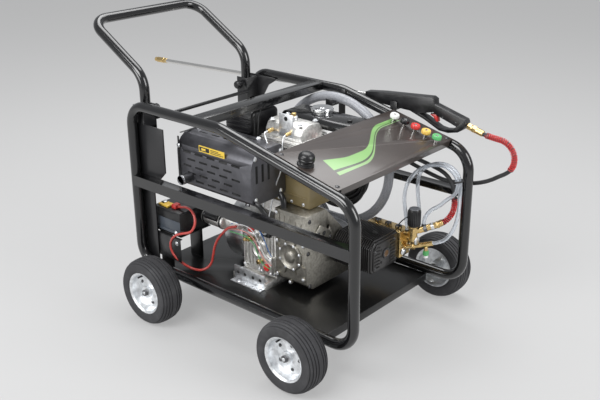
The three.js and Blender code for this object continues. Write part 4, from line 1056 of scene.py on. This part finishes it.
# %% Cylinder, head and shroud
shroud = Bench().cad("cylinder_shroud", 5, 0, 30)
for sx in (-90, -30, 30, 85):
    shroud.bolt((sx, -72, 466), (0, -1, 0), 4.5, 3.5, 1)
    shroud.bolt((sx, -72, 588), (0, -1, 0), 4.5, 3.5, 1)
shroud.block((-104, 100), (-75.5, -71), (490, 494), 1.2)
shroud.block((-104, 100), (-75.5, -71), (556, 560), 1.2)
shroud.bolt((115, -40, 560), (1, 0, 0), 5, 4, 1)
shroud.bolt((115, 60, 560), (1, 0, 0), 5, 4, 1)
shroud.piece("cylinder_cowl", "trolley", "olive_shroud", [olive_paint, bright_zinc], ["cylinder_shroud"])
head = Bench().cad("cylinder_head", 3, 0, 25)
for fin in range(9):
    fz = 606 + fin * 9.2
    head.block((-119, 94), (-75, -69.5), (fz, fz + 3.4), 0.9)
    head.block((89.5, 95), (-72, 62), (fz, fz + 3.4), 0.9)
for hx, hy in ((-80, -46), (50, -46), (-80, 36), (50, 36)):
    head.bolt((hx, hy, 745), (0, 0, 1), 7, 6, 1)
head.rod((-14, -6, 745), (-14, -6, 760), 15, 1, 36, 2)
head.rod((-14, -6, 760), (-14, -6, 772), 10, 2, 6, 2)
head.rod((-60, -66, 716), (-60, -84, 716), 7.5, 3, 24, 1.5)
head.rod((-60, -84, 716), (-60, -92, 716), 9, 3, 6, 1.5)
head.rod((20, -66, 716), (20, -88, 716), 6.5, 3, 24, 1.5)
head.block((-30, 34), (-66, -60), (700, 782), 1.5, 1)
# A thin near-black disc on the zinc plate: painted shade for a dark opening.
head.rod((2, -67, 766), (2, -59, 766), 8, 4, 24, 0.5)
head.piece("engine_head", "trolley", "cast_aluminium", [castings, bright_zinc, brass, brass, matte_black_and_shade],
           ["cylinder_head"])

pipes = Bench()
pipes.tube(smooth_line([(-60, -92, 716), (-58, -112, 712), (-40, -122, 694), (-24, -124, 660), (-20, -120, 612),
                        (-22, -118, 566), (-40, -124, 520), (-52, -130, 470), (-52, -134, 420)]), 2.6, 12)
pipes.tube(smooth_line([(20, -88, 716), (24, -106, 708), (30, -116, 684), (30, -118, 640), (22, -120, 590),
                        (4, -124, 540), (-10, -130, 480), (-20, -136, 420), (-30, -140, 376)]), 2.6, 12)
pipes.tube(smooth_line([(-4, -100, 500), (18, -104, 480), (26, -110, 440), (20, -118, 404), (2, -124, 380)]),
           11, 20, tint=1)
pipes.piece("injector_pipes", "trolley", "steel", [bright_zinc, satin_black])

# %% [markdown]
# The flywheel fan draws air through slots in a pressed cover. The slots are thin near-black bars on a circle,
# painted shade standing in for the openings.

# %% Blower, starter and shafts
blower = Bench().cad("blower_housing", 7, 0, 30)
# Each bar is painted shade where a slot would be dark.
for spoke in range(16):
    turn = math.tau * spoke / 16
    middle = (-263.2, 72 * math.cos(turn), 275 + 72 * math.sin(turn))
    place = Matrix.Translation(middle) @ Matrix.Rotation(turn, 4, "X")
    slot = bmesh.new()
    bmesh.ops.create_cube(slot, size=1, matrix=Matrix.Diagonal((2.6, 52, 6, 1)))
    blower.take(slot, 1, place)
for spot in range(8):
    turn = math.tau * (spot + 0.5) / 8
    blower.bolt((-262, 118 * math.cos(turn), 275 + 118 * math.sin(turn)), (-1, 0, 0), 4.5, 3.5, 2)
blower.turned([(0, 0), (30, 0), (30, 3), (26, 7), (0, 8)], (-1, 0, 0), (-262, 0, 275), 48, 0)
blower.piece("blower_cover", "trolley", "cast_aluminium", [blower_metal, matte_black_and_shade, dark_steel], ["blower_housing"])
starter = Bench().cad("starter_motor", 2, 0, 25)
starter.turned([(28, 0), (29.4, 1), (29.4, 7), (28, 8)], (1, 0, 0), (-318, -165, 345), 48, 1, closed=False)
starter.turned([(28, 0), (29.4, 1), (29.4, 7), (28, 8)], (1, 0, 0), (-232, -165, 345), 48, 1, closed=False)
starter.rod((-300, -190, 362), (-236, -190, 362), 12, 1, 32, 2)
starter.rod((-300, -190, 362), (-308, -190, 362), 5, 2, 6, 1)
for turn in (0.6, 2.6, 4.7):
    starter.bolt((-325, -165 + 19 * math.cos(turn), 345 + 19 * math.sin(turn)), (-1, 0, 0), 3.6, 3, 2)
starter.piece("starter_body", "trolley", "cast_aluminium", [castings, satin_black, bright_zinc],
              ["starter_motor"])
Bench().cad("crankshaft", 0.6).piece("crank_and_flywheel", "crank", "steel", [steel], ["crankshaft"])
Bench().cad("pump_shaft", 0.6).piece("pump_eccentric", "pump_cam", "steel", [steel], ["pump_shaft"])

# %% [markdown]
# The tank and the air cleaner are soft boxes, so their edges get a large bevel. The cap is spun and ribbed.

# %% Tank, caps and air cleaner
tank = Bench().cad("fuel_tank", 12, 0, 40)
tank.block((40, 112), (68.6, 70.2), (668, 706), 0.4, 1)
tank.block((112, 138), (68.6, 70.2), (668, 706), 0.4, 2)
for bar in range(3):
    tank.block((48, 100 - bar * 12), (68.2, 68.9), (676 + bar * 9, 679.5 + bar * 9), 0, 3)
tank.rod((140, 120, 738), (140, 120, 746), 9, 4, 28, 2)
tank.piece("fuel_tank_shell", "trolley", "satin_black",
           [gloss_black, label_white, label_pink, black_plastic, black_plastic], ["fuel_tank"])
cap = Bench().turned([(0, 738.3), (36, 738.3), (36, 744), (41, 745.5), (42, 748), (42, 755), (40, 758.5), (34, 760),
                      (30, 759), (12, 759), (10, 761.6), (0, 762)], "z", (-10, 146, 0), 64)
for rib in range(24):
    turn = math.tau * rib / 24
    cap.block((-10 + 41.2 * math.cos(turn) - 1.6, -10 + 41.2 * math.cos(turn) + 1.6),
              (146 + 41.2 * math.sin(turn) - 1.6, 146 + 41.2 * math.sin(turn) + 1.6), (746.5, 756.5), 0.5)
cap.piece("fuel_filler_cap", "fuel_cap", "steel", [chrome], ["fuel_cap"])
cleaner = Bench().cad("air_cleaner", 9, 0, 30)
for slat in range(7):
    cz = 612 + slat * 17
    cleaner.block((-322, -198), (-43.5, -39), (cz, cz + 7), 1.6, turn=Matrix.Rotation(0.5, 4, "X"))
for slat in range(5):
    cy = -22 + slat * 24
    cleaner.block((-322, -198), (cy, cy + 8), (744, 748), 1.4)
cleaner.rod((-260, 32, 745), (-260, 32, 758), 12, 1, 6, 2)
cleaner.piece("air_filter_box", "trolley", "satin_black", [black_plastic, dark_steel], ["air_cleaner"])

# %% [markdown]
# ## The pump end
# A dark finned crankcase carries a gold brass manifold with three valve plugs and the unloader valve.
# The fins are fine blocks, and every fitting has its own hexagon.

# %% Bell housing and pump crankcase
def bar_between(start, end, width, depth):
    """A flat bar laid from one point to another."""
    start, end = Vector(start), Vector(end)
    shape = bmesh.new()
    bmesh.ops.create_cube(shape, size=1, matrix=Matrix.Diagonal((width, depth, (end - start).length, 1)))
    shape.transform(Matrix.Translation((start + end) / 2) @ to_axis(end - start))
    return shape


bell = Bench().cad("bell_housing", 5, 0, 30)
for by, bz in ((-112, 178), (-112, 430), (-120, 310), (132, 190), (132, 300)):
    bell.bolt((148, by, bz), (1, 0, 0), 6, 5, 1)
bell.slab([(-58, 330), (-92, 372), (-60, 404), (-14, 372), (18, 336), (-10, 322)], "x", (148, 155), 2)
bell.bolt((155, -70, 372), (1, 0, 0), 4.5, 3.5, 1)
bell.bolt((155, -6, 342), (1, 0, 0), 4.5, 3.5, 1)
# A thin near-black disc on the slab: painted shade for a dark hole.
bell.rod((155, -40, 366), (156, -40, 366), 9, 2, 30, 0.4)
bell.turned([(0, 0), (54, 0), (54, 4), (50, 7), (45, 8), (44, 5), (24, 5), (22, 9), (12, 11), (0, 11)], (0, -1, 0),
            (74, -130, 282), 56, 0)
for spoke in range(8):
    turn = math.tau * (spoke + 0.5) / 8
    first = (74 + 56 * math.cos(turn), -132, 282 + 56 * math.sin(turn))
    reach = 78 if spoke % 2 else 70
    second = (max(8, min(140, 74 + reach * math.cos(turn))), -132, 282 + reach * math.sin(turn))
    bell.take(bar_between(first, second, 5, 9), 0)
    bell.bolt((74 + 49 * math.cos(turn), -137, 282 + 49 * math.sin(turn)), (0, -1, 0), 4, 3.5, 3)
for bx, bz in ((12, 196), (136, 208), (12, 440), (12, 330), (136, 340), (74, 180)):
    bell.turned([(0, 0), (9, 0), (8, 7), (0, 7)], (0, -1, 0), (bx, -128, bz), 24)
    bell.bolt((bx, -135, bz), (0, -1, 0), 4.8, 3.6, 3)
for rib in range(5):
    bell.block((18 + rib * 26, 22 + rib * 26), (-133, -128), (352, 436 - rib * 4), 1.2)
bell.piece("bell_casting", "trolley", "dark_casting", [bell_metal, dark_steel, matte_black_and_shade, bright_zinc],
           ["bell_housing"])

pump = Bench().cad("pump_crankcase", 4, 0, 30)
PUMP_FINS, FIN_START, FIN_PITCH = 18, 158, 9
for fin in range(PUMP_FINS):
    fx = FIN_START + fin * FIN_PITCH
    pump.block((fx, fx + 3), (42, 176), (344, 352), 0.7)
for fin in range(PUMP_FINS):
    fx = FIN_START + fin * FIN_PITCH
    pump.block((fx, fx + 3), (13, 21), (236, 322), 0.7)
    pump.take(bar_between((fx + 1.5, 17, 322), (fx + 1.5, 43, 348), 3, 8), 0)
pump.rod((236, 20, 280), (236, 4, 280), 13, 1, 32, 2)
pump.rod((236, 4, 280), (236, -3, 280), 8, 1, 6, 1.2)
pump.rod((276, 100, 345), (276, 100, 358), 11, 2, 32, 2)
pump.slab([(30, 240), (38, 232), (158, 232), (166, 240), (166, 322), (152, 337), (52, 337), (30, 316)], "x",
          (318, 325), 2.0, 0)
for rib in range(7):
    pz = 244 + rib * 13
    pump.block((324, 328), (36, 66), (pz, pz + 4), 0.8)
    pump.block((324, 328), (128, 160), (pz, pz + 4), 0.8)
# Three thin near-black discs on the end plate: painted shade for dark holes.
for dot in range(3):
    pump.rod((324.6, 76, 260 + dot * 24), (326.4, 76, 260 + dot * 24), 4.6, 2, 24, 0.5)
pump.turned([(0, 1), (14, 1), (15, 5), (19, 5), (20, 3), (20, 0), (0, 0)], (1, 0, 0), (325, 102, 288), 44, 5)
pump.turned([(0, 1.2), (13, 1.2), (13, 2.6), (0, 2.6)], (1, 0, 0), (325, 102, 288), 40, 3)
for py, pz in ((40, 246), (40, 312), (160, 246), (154, 326)):
    pump.bolt((325, py, pz), (1, 0, 0), 4.6, 4, 4)
for px in (174, 300):
    for py in (40, 168):
        pump.bolt((px, py, 230), (0, 0, -1), 6, 5, 4, washer=False)
pump.piece("pump_casting", "trolley", "dark_casting",
           [pump_black, label_white, matte_black_and_shade, glass_brown, dark_steel, dark_steel], ["pump_crankcase"])

# %% [markdown]
# The brass block is machined from bar, so its edges stay crisp. Plugs and unions are six-sided rods.

# %% Manifold, unloader valve and knob
manifold = Bench().cad("pump_manifold", 1.6, 0, 20)
for mx in (208, 254, 300):
    manifold.rod((mx, 214, 343), (mx, 214, 352.5), 13.5, 1, 6, 1.4)
    manifold.rod((mx, 214, 352.5), (mx, 214, 354), 6, 1, 24, 0.5)
    manifold.rod((mx, 244, 268), (mx, 252, 268), 12, 1, 6, 1.4)
for mx in (186, 231, 277, 322):
    for mz in (252, 326):
        manifold.bolt((mx, 244, mz), (0, 1, 0), 5, 5, 2)
manifold.rod((330, 200, 262), (337, 200, 262), 15, 3, 36, 1.5)
manifold.rod((337, 200, 262), (340, 200, 262), 9, 3, 6, 1)
start, end = Vector((325, 222, 268)), Vector((426, 252, 303))
along = (end - start).normalized()
for ring in range(6):
    here = end - along * (6 + ring * 5.2)
    manifold.rod(here, here + along * 4, 8.8, 0, 24, 0.5, end_radius=6.6)
manifold.rod(start + along * 24, start + along * 38, 14, 0, 6, 1.5)
manifold.piece("pump_head", "trolley", "brass", [brass, dark_steel, bright_zinc, chrome], ["pump_manifold"])
unloader = Bench().cad("unloader_body", 1.4, 0, 20)
unloader.rod((352, 214, 313), (364, 214, 313), 19.5, 0, 6, 1.6)
unloader.rod((378, 214, 313), (384, 214, 313), 15, 1, 36, 1.5)
unloader.rod((366, 210, 352), (366, 210, 364), 18.4, 0, 6, 1.4)
for stub in ((340, 210, 341), (366, 240, 345), (396, 232, 371)):
    unloader.rod(stub, (stub[0], stub[1], stub[2] + 7), 9.2, 2, 6, 1)
start, end = Vector((372, 214, 350)), Vector((436, 262, 376))
along = (end - start).normalized()
unloader.rod(start + along * 30, start + along * 44, 14.5, 2, 6, 1.6)
unloader.rod(start + along * 58, start + along * 70, 13.4, 1, 32, 1.2)
unloader.tube(smooth_line([(300, 214, 356), (316, 213, 376), (334, 212, 392), (344.5, 211, 400)]), 2.2, 10,
              tint=3)
unloader.piece("unloader_valve", "trolley", "brass", [brass, bright_zinc, dark_steel, matte_black_and_shade], ["unloader_body"])
valve = Bench().rod((402, 246, 268), (402, 246, 250), 11, 0, 32, 2)
valve.rod((402, 246, 252), (402, 246, 240), 9, 1, 32, 1.5)
valve.rod((402, 246, 285), (402, 246, 266), 7, 2, 6, 1)
valve.piece("thermal_valve", "trolley", "brass", [green_plastic, white_plastic, brass])
knob = Bench().turned([(0, 370), (20, 370), (22.4, 373), (22.4, 431), (20, 436), (0, 436)], "z",
                      (369, 210, 0), 56)
for rib in range(22):
    turn = math.tau * rib / 22
    spot = (369 + 22.2 * math.cos(turn), 210 + 22.2 * math.sin(turn))
    knob.rod((*spot, 374), (*spot, 430), 2.1, 0, 8, 0.8)
knob.turned([(0, 436), (18, 436), (20, 437), (19.4, 438.6), (17, 439), (0, 439)], "z", (369, 210, 0), 48, 1)
knob.piece("regulator_grip", "regulator_knob", "black_plastic", [black_plastic, grey_plastic], ["unloader_knob"])

# %% [markdown]
# The battery is a plain case with labels, caps and terminals, and the inlet is a short body between two nuts.

# %% Battery and water inlet
battery = Bench().cad("battery", 3, 0, 25)
battery.block((-492, -338), (-287.2, -285.4), (304, 348), 0.8, 2)
battery.block((-488, -342), (-289, -287), (296, 308), 0.8, 2)
battery.block((-476, -420), (-272, -236), (382, 390), 3, 1)
battery.block((-408, -384), (-264, -236), (382, 399.5), 3, 5)
battery.block((-468, -452), (-258, -242), (389, 394.6), 2, 4)
for vent in range(6):
    battery.rod((-470 + vent * 22, -170, 382), (-470 + vent * 22, -170, 385), 7.5, 3, 24, 0.8)
battery.bolt((-360, -289, 302), (0, -1, 0), 6, 4, 4)
battery.bolt((-472, -289, 302), (0, -1, 0), 6, 4, 4)
battery.piece("battery_case", "trolley", "black_plastic",
              [black_plastic, yellow_plastic, plate_blue, grey_plastic, bright_zinc, red_plastic], ["battery"])
lower = Bench().block((-502, -330), (-297, -294.5), (190, 284), 1.2, 0)
lower.block((-502, -330), (-297, -286), (281, 284), 0.8, 0)
lower.bolt((-350, -297, 264), (0, -1, 0), 6, 4, 1)
lower.bolt((-482, -297, 264), (0, -1, 0), 6, 4, 1)
lower.piece("battery_front_plate", "trolley", "satin_black", [plate_dark, bright_zinc])
inlet = Bench().cad("water_inlet", 1.2, 0, 25)
inlet.rod((-214, 280, 268), (-196, 280, 268), 22.5, 1, 6, 1.6)
inlet.rod((-232, 280, 268), (-222, 280, 268), 22, 1, 36, 1.4)
inlet.rod((-400, 280, 268), (-392, 280, 268), 22.5, 1, 36, 1.4)
inlet.piece("water_inlet_body", "trolley", "satin_black", [black_plastic, brass], ["water_inlet"])

# %% [markdown]
# Small straps hold the hoses, and loose wires soften the look of the castings behind them.

# %% Ties, clamps and loose wires
trim = Bench()
trim.turned([(15, -3), (17, -3), (17, 3), (15, 3)], Vector((0.2, 0.05, -1)).normalized(), (508, 268, 560), 32, 0,
            closed=True)
for spot in ((150, 214, 270), (-178, 280, 268)):
    trim.turned([(18.3, -5), (19.6, -5), (19.6, 5), (18.3, 5)], (1, 0, 0), spot, 40, 1, closed=True)
    trim.block((spot[0] - 5, spot[0] + 5), (spot[1] - 5, spot[1] + 5), (spot[2] + 18.6, spot[2] + 27), 1.2, 1)
for wx in (-168, -150):
    trim.tube(smooth_line([(wx, -30, 766), (wx - 2, -42, 742), (wx + 3, -50, 712), (wx + 8, -58, 686),
                           (wx + 10, -64, 640), (wx + 14, -72, 600), (wx + 16, -84, 540), (wx + 12, -96, 470),
                           (wx + 4, -112, 410)]), 2.4, 10, tint=2)
trim.tube(smooth_line([(8, -232, 500), (26, -228, 488), (40, -220, 462), (44, -208, 430), (36, -190, 396),
                       (18, -168, 372), (2, -146, 356)]), 9, 20, tint=2)
trim.piece("ties_and_wires", "trolley", "black_plastic", [black_plastic, bright_zinc, satin_black])

# %% [markdown]
# ## Floor and light
# A plain pale floor and four large soft lamps, as in a product studio.
# The lamps are wide, so the gloss tubes get long soft highlights.

# %% Studio
FLOOR_HALF = 14000
FLOOR_GLOW = 0.33
SKY_STRENGTH = 0.42
floor_bench = bmesh.new()
bmesh.ops.create_grid(floor_bench, x_segments=1, y_segments=1, size=FLOOR_HALF * MM)
floor_mesh = bpy.data.meshes.new("studio_floor")
floor_bench.to_mesh(floor_mesh)
floor_bench.free()
floor = bpy.data.objects.new("studio_floor", floor_mesh)
bpy.context.scene.collection.objects.link(floor)
floor_finish = Finish("studio_floor_finish")
floor_tone = floor_finish.noise(0.4, 2)
floor_mesh.materials.append(floor_finish.surface(
    floor_finish.mix(floor_tone, tone(0.24, 0.24, 0.24), tone(0.25, 0.25, 0.25)), 0.9, 0.0,
    emission_color=tone(1, 1, 1), emission_strength=FLOOR_GLOW))

world = bpy.data.worlds.new("studio")
bpy.context.scene.world = world
world.use_nodes = True
world.node_tree.nodes["Background"].inputs["Color"].default_value = tone(0.9, 0.92, 0.95)
world.node_tree.nodes["Background"].inputs["Strength"].default_value = SKY_STRENGTH


def lamp(name, place, target, size, power):
    light = bpy.data.lights.new(name, "AREA")
    light.shape = "RECTANGLE"
    light.size, light.size_y = size
    light.energy = power
    made = bpy.data.objects.new(name, light)
    bpy.context.scene.collection.objects.link(made)
    direction = Vector(target) - Vector(place)
    made.matrix_world = Matrix.Translation(place) @ direction.to_track_quat("-Z", "Y").to_matrix().to_4x4()


lamp("key_lamp", (0.5, -3.2, 3.8), (0, 0, 0.4), (3.0, 2.0), 150)
lamp("top_lamp", (-0.5, 1.2, 4.2), (0, 0, 0.4), (3.5, 2.5), 130)
lamp("front_lamp", (-1.2, -4.6, 1.6), (0, 0, 0.45), (2.6, 1.4), 70)
lamp("side_lamp", (4.2, 0.8, 2.4), (0, 0, 0.5), (2.0, 2.4), 95)
bpy.context.scene.view_settings.view_transform = "Standard"

# %% Last update
bpy.context.view_layer.update()
